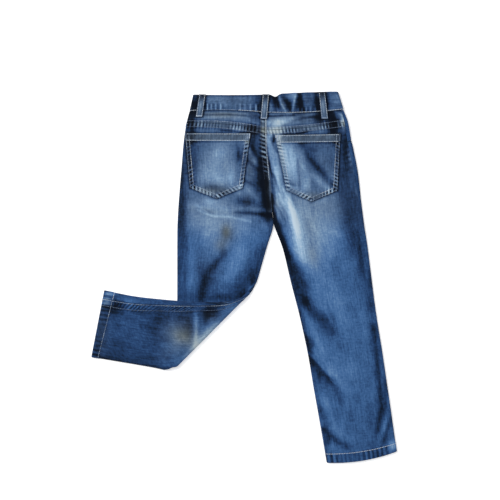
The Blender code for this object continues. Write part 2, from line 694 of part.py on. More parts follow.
def make_button():
    """The waist button: a dished metal head, face down."""
    profile = [
        (0.0, BUTTON_THICKNESS),
        (BUTTON_RADIUS - BUTTON_BEVEL, BUTTON_THICKNESS),
        (BUTTON_RADIUS, BUTTON_THICKNESS - BUTTON_BEVEL),
        (BUTTON_RADIUS, BUTTON_BEVEL),
        (BUTTON_RADIUS - BUTTON_BEVEL, 0.0),
        (BUTTON_RADIUS - BUTTON_RIM, 0.0),
        (BUTTON_RADIUS - BUTTON_RIM - BUTTON_BEVEL, BUTTON_BEVEL),
        (0.0, BUTTON_BEVEL),
    ]
    centre = np.array(WAIST_TOP["centre"]) - LAY_CENTRE - (0, FRONT_DIP + BUTTON_BELOW_TOP)
    mesh = bmesh.new()
    verts = [mesh.verts.new((r * MM, 0, z * MM)) for r, z in profile]
    edges = [mesh.edges.new(pair) for pair in zip(verts, verts[1:])]
    turn = {"cent": (0, 0, 0), "axis": (0, 0, 1), "angle": 2 * math.pi, "steps": BUTTON_STEPS}
    bmesh.ops.spin(mesh, geom=verts + edges, use_merge=True, **turn)
    bmesh.ops.remove_doubles(mesh, verts=mesh.verts, dist=1e-5)
    bmesh.ops.recalc_face_normals(mesh, faces=mesh.faces)
    data = bpy.data.meshes.new("waist_button")
    mesh.to_mesh(data)
    mesh.free()
    data.shade_smooth()
    data.set_sharp_from_angle(angle=math.radians(40))
    obj = new_object("waist_button", data, "metal")
    obj.location = (centre[0] * MM, centre[1] * MM, 0)
    return obj


def make_materials():
    for name, (colour, roughness, metallic) in COLOURS.items():
        material = bpy.data.materials.new(name)
        material.use_nodes = True
        shader = material.node_tree.nodes["Principled BSDF"]
        shader.inputs["Base Color"].default_value = colour
        shader.inputs["Roughness"].default_value = roughness
        shader.inputs["Metallic"].default_value = metallic


def main():
    for obj in list(bpy.data.objects):
        bpy.data.objects.remove(obj)
    make_materials()
    for side in ("left", "right"):
        back = make_back(side)
        make_pocket(side, back)
        make_yoke(side)
        make_fronts(side)
    make_waistband()
    for name, loop in BACK_LOOPS.items():
        make_back_loop(name, loop)
    for name, loop in FRONT_LOOPS.items():
        make_front_loop(name, loop)
    make_button()


main()
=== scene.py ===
import json
import math
from collections import defaultdict, namedtuple

import bmesh
import bpy
import numpy as np
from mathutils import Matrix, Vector
from mathutils.bvhtree import BVHTree

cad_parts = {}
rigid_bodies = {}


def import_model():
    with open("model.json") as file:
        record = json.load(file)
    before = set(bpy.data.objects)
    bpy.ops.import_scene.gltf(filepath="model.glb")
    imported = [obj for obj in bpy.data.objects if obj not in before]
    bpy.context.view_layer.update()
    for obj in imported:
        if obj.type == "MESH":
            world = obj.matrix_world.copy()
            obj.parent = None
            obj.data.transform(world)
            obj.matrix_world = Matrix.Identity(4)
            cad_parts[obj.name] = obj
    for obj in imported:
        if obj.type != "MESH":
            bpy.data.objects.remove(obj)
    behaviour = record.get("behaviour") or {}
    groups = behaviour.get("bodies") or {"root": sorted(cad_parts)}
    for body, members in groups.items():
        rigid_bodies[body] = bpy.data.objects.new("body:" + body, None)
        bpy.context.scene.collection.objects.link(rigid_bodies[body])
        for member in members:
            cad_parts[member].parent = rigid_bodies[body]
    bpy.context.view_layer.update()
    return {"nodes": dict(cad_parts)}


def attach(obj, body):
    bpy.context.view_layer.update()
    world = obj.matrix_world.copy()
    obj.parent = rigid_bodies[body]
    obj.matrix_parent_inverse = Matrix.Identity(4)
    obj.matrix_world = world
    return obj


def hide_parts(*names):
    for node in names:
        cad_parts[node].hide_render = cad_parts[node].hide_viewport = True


# A child's skinny jeans, lying on their front, with the wearer's left leg folded over at the knee.
# The back faces up, so the wearer's left is at -X. Tables are in millimetres in the plan that the
# solids are drawn in, whose middle is at layCentre, and the scene is in metres.

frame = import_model()
for obj in bpy.data.objects:
    obj.select_set(False)
print("frame loaded:", len(frame["nodes"]), "nodes")

mm = 0.001
layCentre = (-0.043, 6.216)

cloth = {
    "wall": 1.5,
    "hemWall": 2.1,
    "edgeWall": 1.4,  # thinnest, where a wall rolls round an edge
    "bandWall": 2.4,
    "pocketWall": 1.3,
    "hemHeight": 17.2,
    "hemRise": 0.4,
    "seamGap": 0.3,
    "loft": 5.2,  # floor to top face, with both layers
    "crown": 1.0,
    "edgeReach": 3.8,
    "lap": 10.0,
    "lapRise": 0.6,
    "roundShare": 0.3,  # how much of the wall's thickness its cut edges are rounded by
    "undersideDent": 0.3,  # the underside's plain cloth lies this far above its seams
}

waist = {
    "y": 312.0,
    "lift": 1.9,
    "liftFlat": 24.0,
    "liftFade": 30.0,
    "rise": 2.1,
    "riseFade": 90.0,
    "frontDip": 12.0,
}

kneeFold = {
    "gap": 0.7,
    "out": (math.sqrt(0.5), -math.sqrt(0.5)),
    "steps": 14,
    "coverTop": -30.0,
    "coverFade": 16.0,
    "dropStart": -126.5,
    "dropRun": 42.0,
}
foldCentre = cloth["loft"] + kneeFold["gap"] / 2

# Rows of each half, waist to hem, as in the solids: a row runs from the outer edge to the inner one.
Row = namedtuple("Row", "outerX outerY innerX innerY bow roll outSeam inSeam dip", defaults=[0.0, 0.0])
Station = namedtuple("Station", "row place turn toEnd")

rightRows = [
    Row(184.4, 316.7, 38.9, 310.8, 3, 0, 6),
    Row(193, 294.2, 38.5, 278.4, 3, 0, 9),
    Row(199.8, 258.1, 39.4, 247, 0, 0, 10),
    Row(210.9, 202.6, 44, 198.9, 0, 0, 9),
    Row(216.8, 150.8, 49.2, 147.1, 0, 0, 6),
    Row(222.6, 105.5, 54.5, 106, 0, 1, 2),
    Row(229.4, 58.3, 71.8, 58.3, 0, 1, 0, -2),
    Row(236.8, -0.9, 86.6, -2.8, 0, 1, 0, -4),
    Row(245.1, -63.8, 103.2, -67.5, 0, 1, 0, -4),
    Row(255.3, -126.7, 117.7, -134.1, 0, 1, 0, -3),
    Row(264.6, -189.6, 129.1, -200.7, 1, 1, 0, -2),
    Row(273.8, -252.5, 141, -267.3, 3, 1, 0, -1),
    Row(282.7, -316.3, 153.2, -337.4, 6.5, 1, 0),
]

leftRows = [
    Row(-101.2, 313.6, 38.9, 310.8, -3, 0, -2),
    Row(-106.7, 291.4, 38.5, 278.4, -4.5, 0, -3),
    Row(-111.9, 258.1, 39.4, 247, -1, 0, -3),
    Row(-116.6, 202.6, 44, 198.9, 0, 0, -3),
    Row(-121.2, 147.1, 49.2, 147.1, 0, 0, -2),
    Row(-123.6, 103.7, 54.6, 106, 0, 1, -1),
    Row(-124, 65.7, 42.6, 63.8, 0, 1, 0, -3),
    Row(-124, 21.3, 31.5, 25, 0, 1, 0, -6),
    Row(-124, -34.2, 27.4, 10.2, 0, 1, 0, -7),
    Row(-124, -93.4, 24.8, 1.9, 0, 1, 0, -8),
    Row(-124.9, -151, 23.1, -3, 0, 1, 0, -9),
]

sideRows = {"left": leftRows, "right": rightRows}

# The folded part of the left leg, fold to hem
turnedRows = [
    Row(-131.8, -160.2, -3.7, -30.4, 0, 1, 0, -9),
    Row(-146.2, -164.6, -29.6, -38.4, 0, 1, 0, -9),
    Row(-173.9, -160, -72.2, -39.2, 0, 1, 0, -10),
    Row(-205.4, -154.5, -124, -36.8, 0, 1, 0, -12),
    Row(-244.2, -148, -198, -29.6, 0, 1, 0, -15),
    Row(-283.1, -141.5, -259, -17.6, 0, 1, 0, -17),
]

quarterRoll = math.pi / 2 * math.sqrt((cloth["edgeReach"] ** 2 + (cloth["loft"] / 2) ** 2) / 2)
rollEnd = quarterRoll + 3.0  # path length from an edge's middle to the flat

# Folds and creases: x and y of the points that they run through, width (or to their left and right),
# height (plus for a ridge), and how much lighter they are: wash, painted highlight on ridges, painted shade
# in hollows
backFolds = [
    ((36, 240, 46, 112), 9, -2.4, -0.12), ((58, 250, 66, 130), 8, 2.2, 0.1),
    ((70, 190, 108, 60), 16, 2.4, 0.04), ((118, 240, 160, 178), 8, -2, -0.14),
    ((98, 214, 112, 176), 7, 1.6, 0.08), ((142, 228, 150, 214), 7, 1.4, 0.05),
    ((8, 240, 24, 212), 5, 1.5, 0.06), ((0, 196, 26, 164), 6, 1.2, 0.08),
    ((-96, 138, 26, 126), 7, 2.6, 0.08), ((-10, 116, 44, 120), 6, -2, -0.08),
    ((186, 268, 190, 196), 8, -1.6, -0.08), ((4, 52, -20, 8), 11, 1.8, 0.06),
    ((-86, 60, -96, 0), 16, 1.4, 0.04), ((92, -24, 160, -88), 10, -1.2, -0.04),
    ((130, 24, 176, -30), 12, 1.6, 0.03), ((128, -152, 178, -204), 7, -1.4, -0.04),
    ((150, -120, 196, -170), 12, 1.6, 0.06), ((150, -282, 184, -308), 6, -1.4, 0),
    ((146, -256, 176, -284), 7, 1.5, 0.06), ((250, -214, 264, -292), 7, -1.2, 0),
    ((272, -242, 258, -286), 5, 1.5, 0.06), ((206, 40, 238, -110), 12, -1, -0.04),
    ((-60, 116, -4, 104), 3, -0.4, -0.06), ((60, 168, 62, 118), 4, 0.7, 0.14),
    ((72, 132, 92, 70), 4.5, -0.5, -0.08), ((84, 146, 98, 90), 4, 0.5, 0.08),
    ((196, 190, 208, 96), 6, 0.6, 0.05), ((206, 160, 214, 60), 4, -0.5, -0.06),
    ((184, 140, 196, 40), 9, 0.5, 0.03), ((176, 20, 206, -66), 7, -0.5, -0.05),
    ((162, 0, 178, -50), 5, 0.4, 0.04), ((214, -20, 226, -98), 7, 0.5, 0.04),
    ((120, -96, 132, -130), 5, 0.6, 0.08), ((166, -70, 178, -124), 4, -0.4, -0.06),
    ((186, -84, 204, -150), 5, 0.4, 0.03), ((224, -120, 236, -196), 5, -0.4, -0.05),
    ((146, -176, 150, -228), 5, 0.5, 0.08), ((196, -216, 204, -276), 5, -0.4, -0.04),
    ((176, -232, 184, -270), 4, 0.4, 0.03), ((222, -232, 230, -290), 4, 0.5, 0.04),
    ((160, -226, 172, -262), 5, -0.5, -0.06), ((-104, 60, -110, -30), 4, -0.5, -0.05),
    ((-70, 94, -78, 40), 7, 0.5, 0.04), ((-12, 40, -34, -14), 5, -0.4, -0.05),
    ((14, 60, 4, 16), 4, -0.5, -0.06), ((-90, 26, -104, -24), 4, 0.5, 0.04),
]

flapFolds = [
    ((-88, -78, -89, -118), 5, 1.4, 0.12), ((-70, -60, -64, -104), 8, -1.4, -0.06),
    ((-118, -66, -122, -126), 12, 1.2, 0.02), ((-196, -60, -214, -132), 16, 1.2, 0.02),
    ((-160, -52, -172, -112), 9, -1, -0.05), ((-104, -58, -100, -84), 4, -0.5, -0.05),
    ((-130, -62, -138, -84), 4, 0.5, 0.04), ((-148, -112, -190, -126), 4, -0.4, -0.04),
    ((-92, -122, -128, -136), 4, 0.4, 0.05), ((-222, -52, -236, -96), 6, -0.5, -0.04),
    ((-240, -60, -252, -128), 5, 0.4, 0.03), ((-180, -66, -186, -110), 4, 0.4, 0.03),
    ((-48, -56, -62, -72), 4, 0.5, 0.05), ((-76, -98, -112, -134), 4, -0.5, -0.04),
    ((-156, -144, -196, -146), 4, -0.4, -0.05),
]

leftCreases = [
    ((33, 216, 34, 184), (10.2, 12), 0, -0.46), ((39, 179, 41, 144), (7.4, 6.3), 0, -0.46),
    ((42, 138, 44, 123), (9.2, 16.7), 0, -0.46), ((16, 260, 15, 231), 4.8, -0.3, -0.26),
    ((9, 242, 20, 220), 3.7, 0.5, 0.24), ((15, 249, 26, 227, 29, 212), (4.1, 3.7), -0.3, -0.16),
    ((5, 223, 20, 210, 33, 201), (3.3, 3.7), -0.4, -0.22), ((5, 205, 20, 194), 3.7, 0.3, 0.14),
    ((7, 192, 24, 185), 2.8, 0.3, 0.12), ((2, 185, 16, 178, 26, 168), (2.6, 3), -0.3, -0.16),
    ((0, 173, 15, 162, 26, 151), 5.6, 0.4, 0.18), ((-8, 135, 22, 133, 46, 129), 3, 0.5, 0.16),
    ((-15, 126, 15, 125, 52, 121), (2.8, 3.3), -1.2, -0.36), ((0, 117, 33, 116), 3.7, 0.4, 0.08),
    ((-84, 130, -71, 124, -56, 119, -26, 118, 11, 110), 2.2, 0.5, 0.2),
    ((-89, 140, -71, 129), 2.2, 0.3, 0.14), ((-76, 133, -58, 125), 1.9, -0.3, -0.12),
    ((-39, 48, -52, 31, -67, 14, -76, -10, -80, -36), 8.3, -1.9, -0.3),
    ((33, 57, 24, 27, 16, -2), (5.6, 9.2), -0.5, -0.22),
    ((-52, -28, -22, -28, 3, -25), (6.5, 12), -0.6, -0.3), ((-8, 57, -22, 16, -37, -17), 9.2, 0.6, 0.08),
    ((-104, 140, -106, 90), 3, 0.3, 0.1), ((11, 35, 15, -6), 3.7, -0.3, -0.1),
    ((-74, 303, -30, 304, 7, 301), 2.8, 0.3, 0.16), ((-72, 310, -30, 310, 3, 309), 1.7, 0.3, 0.22),
    ((-71, 306, -30, 307, 11, 304), 1.7, -0.3, -0.2), ((11, 295, 24, 290), 3, 0.3, 0.16),
    ((-43, 278, -15, 276, 5, 272), 1.9, -0.3, -0.34),
]

rightCreases = [
    ((39, 260, 43, 231, 48, 209, 52, 192), 2.2, -0.4, -0.42),
    ((45, 257, 50, 227, 58, 197, 64, 175), (4.4, 3.7), 0.7, 0.14),
    ((74, 168, 81, 146, 90, 123, 96, 101), (6.7, 5.6), 0.7, 0.22),
    ((51, 160, 53, 135, 53, 110), (2.6, 2.2), 0, -0.5),
    ((50, 262, 54, 251, 61, 238), (2.6, 2.2), -0.4, -0.3), ((53, 271, 55, 257), (2.2, 2), -0.3, -0.4),
    ((54, 197, 59, 183, 64, 166), (2, 2.4), -0.4, -0.34),
    ((55, 258, 63, 238, 68, 209, 73, 175, 81, 157), 2, 0, -0.12),
    ((52, 181, 57, 155, 63, 131), (4.1, 4.4), -0.3, -0.18), ((89, 157, 96, 136), 3, -0.3, -0.22),
    ((53, 194, 59, 164, 61, 149), 1.7, 0.2, 0.2), ((60, 147, 74, 120), 1.9, 0.2, 0.2),
    ((57, 138, 72, 107), 1.7, 0.2, 0.14), ((66, 151, 81, 125), 1.9, 0.2, 0.14),
    ((61, 181, 64, 162, 72, 144), 1.7, 0.3, 0.18), ((68, 172, 76, 155, 85, 144), 1.7, -0.2, -0.14),
    ((63, 140, 77, 109), 1.5, -0.2, -0.14), ((52, 144, 58, 110, 68, 81, 81, 46), (5.9, 5.6), -0.4, -0.4),
    ((66, 98, 77, 57, 90, 18, 101, -13, 114, -39), (8.3, 13), -1.2, -0.34),
    ((114, -38, 133, -63, 155, -89), 10.2, -0.6, -0.25),
    ((111, -54, 122, -80, 132, -104, 144, -130), (6.7, 5.2), 0.8, 0.16),
    ((102, -58, 113, -99, 123, -132), 3.7, 0, -0.2), ((144, -58, 161, -84, 170, -102), 3, -0.3, -0.08),
    ((146, -49, 164, -78), 2.6, 0.3, 0.08), ((93, 123, 97, 94, 101, 68, 109, 42), (8.3, 7.4), 0.8, 0.14),
    ((113, 123, 120, 94, 126, 64), 4.8, -0.4, -0.1),
    ((120, -140, 137, -158, 157, -180), (2.6, 11.1), -0.8, -0.36),
    ((155, -178, 170, -200, 179, -224), (5.6, 6.5), -0.5, -0.14),
    ((127, -128, 150, -150, 172, -178, 188, -204), (8.3, 5.6), 0.5, 0.12),
    ((116, -106, 124, -132), 5.6, -0.3, -0.18), ((144, -215, 155, -243, 166, -269), 7.4, 0.5, 0.14),
    ((142, -241, 151, -272), 5.6, -0.2, -0.16),
    ((148, -276, 163, -290, 177, -300, 190, -308), 5.9, -0.5, -0.26),
    ((168, -263, 187, -289), 7.4, 0.3, 0.08),
    ((240, -87, 246, -143, 251, -191, 254, -232, 248, -276), (4.4, 6.7), -0.5, -0.32),
    ((268, -217, 264, -247, 259, -274), (3.7, 4.1), 0.5, 0.2),
    ((272, -254, 264, -278, 259, -297), (3.7, 4.6), -0.4, -0.22),
    ((220, -100, 229, -150, 235, -206), 7.4, 0.3, 0.05), ((44, 295, 63, 295, 83, 297), 6.5, 0.4, 0.2),
    ((42, 308, 70, 309, 89, 310), 1.7, 0.3, 0.24), ((42, 304, 70, 305, 92, 306), 1.9, -0.4, -0.4),
    ((74, 288, 92, 295, 114, 301, 137, 304), 2.2, -0.3, -0.22),
    ((85, 300, 103, 304, 129, 308), 2.2, 0.3, 0.14), ((81, 291, 103, 298, 126, 299), 1.9, 0.3, 0.12),
    ((159, 312, 166, 295, 164, 275), 5.6, -0.5, -0.32), ((170, 312, 181, 305), 2.2, 0.3, 0.2),
    ((183, 299, 192, 279), 3.3, 0.3, 0.2), ((70, 271, 92, 270, 118, 276), (2.2, 1.9), -0.3, -0.4),
]

pocketCreases = [
    ((107, 249, 120, 227, 137, 207, 153, 190, 168, 173), (5.9, 7), -0.8, -0.3),
    ((99, 223, 102, 194, 103, 170), (2.4, 3), -0.3, -0.22),
    ((109, 212, 118, 190, 127, 164), (4.4, 3.7), 0.4, 0.2),
    ((114, 201, 122, 179, 129, 159), 2.2, -0.2, -0.12), ((127, 194, 144, 179, 159, 168), 5.6, 0.3, 0.2),
    ((85, 242, 90, 214, 96, 190), 7.4, 0.3, 0.1), ((85, 181, 90, 177), 3.7, -0.2, -0.24),
    ((92, 173, 98, 172), 3.7, 0.2, 0.18), ((-13, 249, -9, 220, -10, 201), (3.7, 6.5), -0.3, -0.12),
    ((-84, 242, -87, 214, -89, 183), (9.2, 5.6), -0.2, -0.1), ((-71, 186, -72, 172), 2.8, -0.2, -0.1),
    ((-26, 190, -21, 172), 3.7, 0.2, 0.08),
]

bandCreases = [
    ((64, 342, 68, 327, 77, 314), 2.2, 0.8, 0.34), ((72, 338, 81, 327, 87, 312), (5.2, 4.8), -0.8, -0.46),
    ((96, 344, 92, 327, 89, 314), 2.2, 1, 0.46), ((55, 336, 61, 325), 5.6, -0.5, -0.32),
    ((48, 327, 52, 314), 1.9, 0.5, 0.28), ((59, 327, 63, 312), 1.7, 0.4, 0.24),
    ((103, 342, 107, 320), 3.7, -0.4, -0.18), ((114, 338, 122, 323), 5.6, 0.4, 0.08),
    ((132, 349, 137, 316), 3.7, -0.4, -0.2), ((101, 338, 109, 314), 5.6, -0.4, -0.16),
    ((120, 340, 127, 316), 5.6, -0.4, -0.12), ((172, 342, 177, 323), 4.6, 0.4, 0.16),
    ((-91, 338, -95, 320), 3.7, -0.3, -0.16), ((-63, 336, -41, 338), 2.8, 0.2, 0.1),
    ((-22, 339, 11, 337), 2.8, 0.2, 0.08), ((-30, 329, -19, 331), 3.7, -0.2, -0.08),
]

flapCreases = [
    ((-90, -58, -88, -87, -91, -121), 3, 0.5, 0.22), ((-133, -73, -126, -99), 3, 0.2, 0.12),
    ((-65, -52, -71, -75), 6.5, -0.4, -0.14), ((-159, -62, -163, -128), 9.2, -0.2, -0.1),
    ((-258, -38, -245, -40), 3.7, 0.2, 0.26),
]

# The underside lies flat, so its creases only press up into the cloth
frontFolds = [
    ((-84, 236, -20, 214), 5, 0.6, -0.1), ((-88, 216, -26, 192), 5, 0.5, -0.08),
    ((-92, 196, -34, 172), 5, 0.6, -0.08), ((180, 240, 104, 214), 5, 0.6, -0.1),
    ((186, 218, 112, 190), 5, 0.5, -0.08), ((190, 196, 118, 170), 5, 0.6, -0.08),
    ((64, 128, 108, 60), 7, 0.8, -0.1), ((110, 60, 132, -30), 6, 0.5, -0.06),
    ((128, -40, 214, -58), 5, 0.6, -0.08), ((128, -74, 208, -92), 5, 0.6, -0.08),
    ((132, -112, 196, -120), 5, 0.5, -0.06), ((156, -220, 214, -244), 6, 0.6, -0.07),
    ((36, 126, -12, 72), 7, 0.7, -0.1), ((-20, 40, -70, 26), 6, 0.5, -0.06),
    ((-30, -6, -98, -24), 6, 0.6, -0.07), ((-40, -52, -100, -66), 5, 0.5, -0.06),
]

# Wash marks, some of them painted shade and painted highlight: x, y, half widths across and along, tone,
# and for some a lean to the right in degrees and warmth
leftWashAndShading = [
    (18, 277, 15, 13, -0.24, 0, 0.1), (22, 245, 11, 24, -0.22), (18, 185, 24, 22, -0.16),
    (-4, -10, 22, 20, -0.24), (-72, -6, 8, 26, -0.12), (5, 146, 11, 7, -0.22, 0, 0.5),
    (-8, 116, 22, 17, 0.12), (3, 94, 18, 22, 0.16), (-61, 72, 20, 30, 0.14), (-117, 100, 9, 90, -0.22),
    (-56, 129, 50, 28, 0.27, 0, 0.1), (-59, 101, 44, 28, 0.18, 0, 0.2), (-34, 90, 9, 14, -0.18, 0, 0.8),
    (-43, 66, 13, 13, 0.04, 20, 0.6), (-13, 49, 15, 28, 0.14, 20, 0), (-35, 7, 17, 28, 0.14, 20, 0),
    (-100, 35, 15, 44, 0.06), (11, 12, 13, 15, -0.14, 24, 0), (-113, 178, 7, 63, -0.24),
    (-104, 301, 11, 22, -0.26), (-54, 305, 41, 9, 0.18, 0, 0.1), (-8, 297, 18, 9, 0.1),
    (13, 283, 15, 7, -0.24), (-96, 283, 6, 33, -0.24), (-109, 120, 9, 52, -0.16), (-109, 5, 7, 41, -0.12),
    (-82, 27, 9, 41, -0.15), (-48, -6, 26, 15, -0.13), (0, 136, 17, 9, -0.22), (-69, 127, 15, 7, -0.1),
    (22, 305, 9, 9, -0.18), (40, 273, 9, 9, 0.14, 0, 0.3), (-8, 277, 15, 6, 0.12), (-95, 283, 7, 26, -0.2),
    (-63, 31, 30, 41, -0.03, 0, 0.14), (11, 214, 11, 26, 0, 0, 0.25), (0, 127, 15, 7, -0.13),
    (37, 109, 9, 9, 0.12), (37, 220, 6, 15, 0.12), (16, 277, 9, 11, -0.22, 0, 0.1),
    (-71, -28, 52, 11, -0.14), (-96, -32, 17, 9, -0.08), (-15, 275, 11, 6, 0.12), (-98, 268, 9, 7, -0.24),
    (37, 283, 7, 7, 0.1), (-74, 27, 13, 9, -0.1), (22, 164, 7, 9, -0.12), (-19, -13, 22, 9, -0.08),
    (-108, 72, 6, 26, -0.1), (-96, 312, 7, 7, -0.18), (-63, 312, 18, 6, -0.12), (-8, 283, 7, 6, 0.16),
    (26, 283, 6, 7, 0.1), (37, 283, 6, 7, 0.2), (22, 223, 6, 9, 0.12), (37, 209, 6, 9, 0.12),
    (-111, 172, 6, 15, 0.12), (-59, 147, 17, 6, 0.16), (-8, 149, 9, 7, -0.2), (9, 168, 7, 13, 0.12),
    (37, 135, 6, 9, 0.1), (37, 105, 6, 7, 0.1), (-45, 46, 7, 7, 0.1), (-119, 27, 6, 15, -0.12),
    (-37, 16, 11, 7, -0.12), (-59, 1, 7, 7, -0.12), (-56, -26, 9, 6, 0.16), (-119, -28, 6, 7, -0.12),
    (34, 284, 3, 17, 0.34, 0, -0.1), (37, 279, 6, 7, 0.1), (-96, 312, 7, 9, -0.1),
    (-30, 303, 44, 6, -0.04, 0, 0.2), (16, -17, 7, 7, 0.14), (-41, 308, 44, 4, -0.14, 0, 0.45),
    (40, 99, 6, 9, 0.18), (-8, 168, 7, 9, 0.14), (-67, 149, 11, 7, 0.1), (16, -15, 7, 9, 0.14),
    (5, 146, 18, 6, -0.08, 0, -0.3), (22, 218, 7, 7, 0.05), (-21, -26, 15, 6, 0.14),
    (-59, 310, 37, 6, -0.06), (11, 149, 22, 7, -0.06), (-89, 312, 15, 7, -0.08), (-8, 164, 7, 7, 0.1),
    (-111, 149, 6, 11, 0.08), (15, -13, 7, 7, 0.08), (-26, 85, 15, 17, 0.02, 0, 0.3),
]

rightWashAndShading = [
    (200, 177, 17, 111, -0.2, -6, 0), (201, 75, 13, 56, -0.18, -6, 0), (41, 262, 9, 34, 0.34),
    (178, 176, 8, 48, -0.2, -4, 0), (42, 310, 6, 13, -0.34), (61, 214, 11, 63, 0.22, -8, 0),
    (64, 190, 9, 26, 0.12, -12, 0), (84, 148, 11, 18, 0.26, -10, 0), (94, 100, 13, 50, 0.4, -10, 0),
    (111, 53, 24, 37, 0.22, -12, 0), (133, 123, 41, 74, 0.24, -8, 0.15), (151, 75, 26, 48, 0.18, -8, 0),
    (124, 90, 15, 40, 0.06, -12, 0.3), (127, 46, 11, 22, -0.05, -12, 0.4), (163, 294, 11, 24, -0.36),
    (135, 303, 13, 7, -0.28), (66, 297, 26, 13, 0.4, 0, 0.1), (124, 284, 17, 7, 0.14),
    (188, 294, 7, 11, 0.24, 0, 0.8), (151, -39, 37, 56, 0.12, -12, 0), (179, -82, 30, 63, 0.08, -10, 0),
    (190, -176, 26, 33, 0.08, -8, 0), (61, 277, 11, 13, 0.28, 0, 0.3), (68, 234, 5, 26, 0.2, -10, 0),
    (187, 238, 6, 35, -0.22), (194, 146, 11, 48, -0.14, -6, 0), (68, 307, 13, 7, -0.16),
    (100, 305, 13, 6, -0.22), (138, 312, 6, 18, -0.16), (166, 286, 11, 17, -0.2),
    (114, 127, 9, 18, 0.14, -14, 0), (126, 35, 9, 17, 0.13, -14, 0), (103, 16, 9, 22, -0.26, -26, 0),
    (113, -8, 9, 13, -0.2, -26, 0), (142, -75, 20, 15, -0.12, -30, 0), (168, -100, 17, 15, -0.09, -30, 0),
    (126, -117, 6, 11, -0.12, -14, 0), (190, -128, 15, 13, -0.08), (138, -176, 7, 9, -0.12),
    (157, -167, 7, 13, 0.12, -40, 0), (259, -241, 7, 26, -0.18), (240, -297, 18, 17, -0.09),
    (153, -252, 6, 13, -0.12), (153, -295, 6, 11, -0.12), (272, -306, 9, 9, 0.3), (200, 24, 7, 15, 0.1),
    (170, 36, 9, 11, -0.1), (170, 283, 9, 15, -0.18), (187, 253, 7, 17, -0.18), (59, 301, 17, 9, -0.12),
    (111, 301, 26, 7, -0.1), (192, 120, 11, 22, -0.1, -6, 0), (66, 157, 6, 18, 0.12, -8, 0),
    (133, -71, 22, 17, -0.08, -30, 0), (111, -6, 9, 15, -0.12, -26, 0), (137, -174, 9, 9, -0.12),
    (157, -174, 7, 9, 0.1, -40, 0), (126, -119, 6, 9, -0.08), (96, 109, 7, 26, 0.08, -14, 0),
    (233, -247, 11, 18, -0.08), (229, -308, 11, 9, -0.1), (64, 268, 9, 6, 0.4, 0, 0.2),
    (140, 297, 7, 9, -0.28), (52, 297, 6, 9, -0.2), (53, 183, 5, 22, -0.14, -6, 0),
    (217, 38, 6, 41, -0.26, -6, 0), (233, -43, 6, 30, -0.18, -7, 0), (262, -235, 6, 26, -0.18),
    (262, -302, 7, 15, -0.18), (157, -295, 6, 9, -0.22), (127, -117, 5, 11, -0.14, -14, 0),
    (159, -67, 9, 13, -0.14, -30, 0), (142, -195, 6, 22, -0.1, -12, 0), (159, -228, 7, 13, 0.1, -20, 0),
    (137, 312, 56, 3, -0.1), (52, 138, 6, 11, 0.14), (66, 135, 7, 9, 0.1), (111, 112, 7, 17, 0.1),
    (185, 105, 9, 11, -0.1), (170, 90, 9, 9, 0.1), (185, 294, 7, 11, 0.24), (52, 312, 6, 6, -0.12),
    (81, 312, 7, 6, 0.13), (81, 297, 9, 7, -0.1), (59, 283, 13, 6, 0.12), (140, 283, 9, 6, 0.14),
    (52, 297, 6, 7, -0.1), (200, 231, 7, 15, 0.14), (214, 164, 6, 11, 0.28), (205, 35, 6, 22, 0.12),
    (233, 1, 6, 26, -0.16, -6, 0), (144, 149, 15, 6, 0.12), (144, 61, 9, 7, -0.1),
    (94, 25, 9, 13, -0.13, -14, 0), (114, 1, 7, 9, 0.1), (135, -78, 9, 11, 0.12), (174, -117, 9, 9, -0.1),
    (144, -161, 7, 7, 0.1), (131, -176, 6, 7, 0.16), (159, -176, 7, 7, 0.1), (262, -191, 6, 11, -0.12),
    (144, -265, 6, 7, 0.16), (159, -265, 6, 7, -0.1), (233, -269, 7, 13, -0.12), (248, -324, 11, 6, -0.16),
    (159, -309, 7, 6, 0.1), (61, 294, 15, 9, 0.2, 0, 0.3), (53, 277, 15, 6, 0.28, 0, 0.1),
    (55, 264, 3, 7, -0.5), (111, 301, 30, 11, 0, 0, 0.25), (183, 297, 7, 7, 0.2), (201, 231, 7, 15, 0.12),
    (214, 164, 6, 9, 0.2), (72, 90, 7, 9, 0.12), (52, 135, 6, 9, 0.1), (70, 72, 6, 9, 0.1),
    (218, -60, 7, 9, 0.08), (277, -306, 6, 9, 0.2), (61, 99, 6, 15, 0.16, 0, 0.1), (70, 88, 6, 9, 0.08),
    (185, 297, 7, 9, 0.14), (201, 236, 7, 15, 0.12), (59, 144, 6, 11, 0.04, 0, 0.3), (111, 149, 7, 7, 0.1),
    (96, 135, 7, 7, 0.08), (81, 310, 9, 6, 0.14), (137, 299, 9, 9, -0.1), (277, -306, 6, 11, 0.18),
    (66, 299, 11, 7, -0.06), (185, 290, 7, 15, 0.1), (52, 266, 7, 7, 0.08), (68, 271, 7, 6, 0.1),
    (200, 236, 7, 9, 0.08), (52, 271, 4, 4, 0.2), (70, 268, 6, 7, 0.12),
]

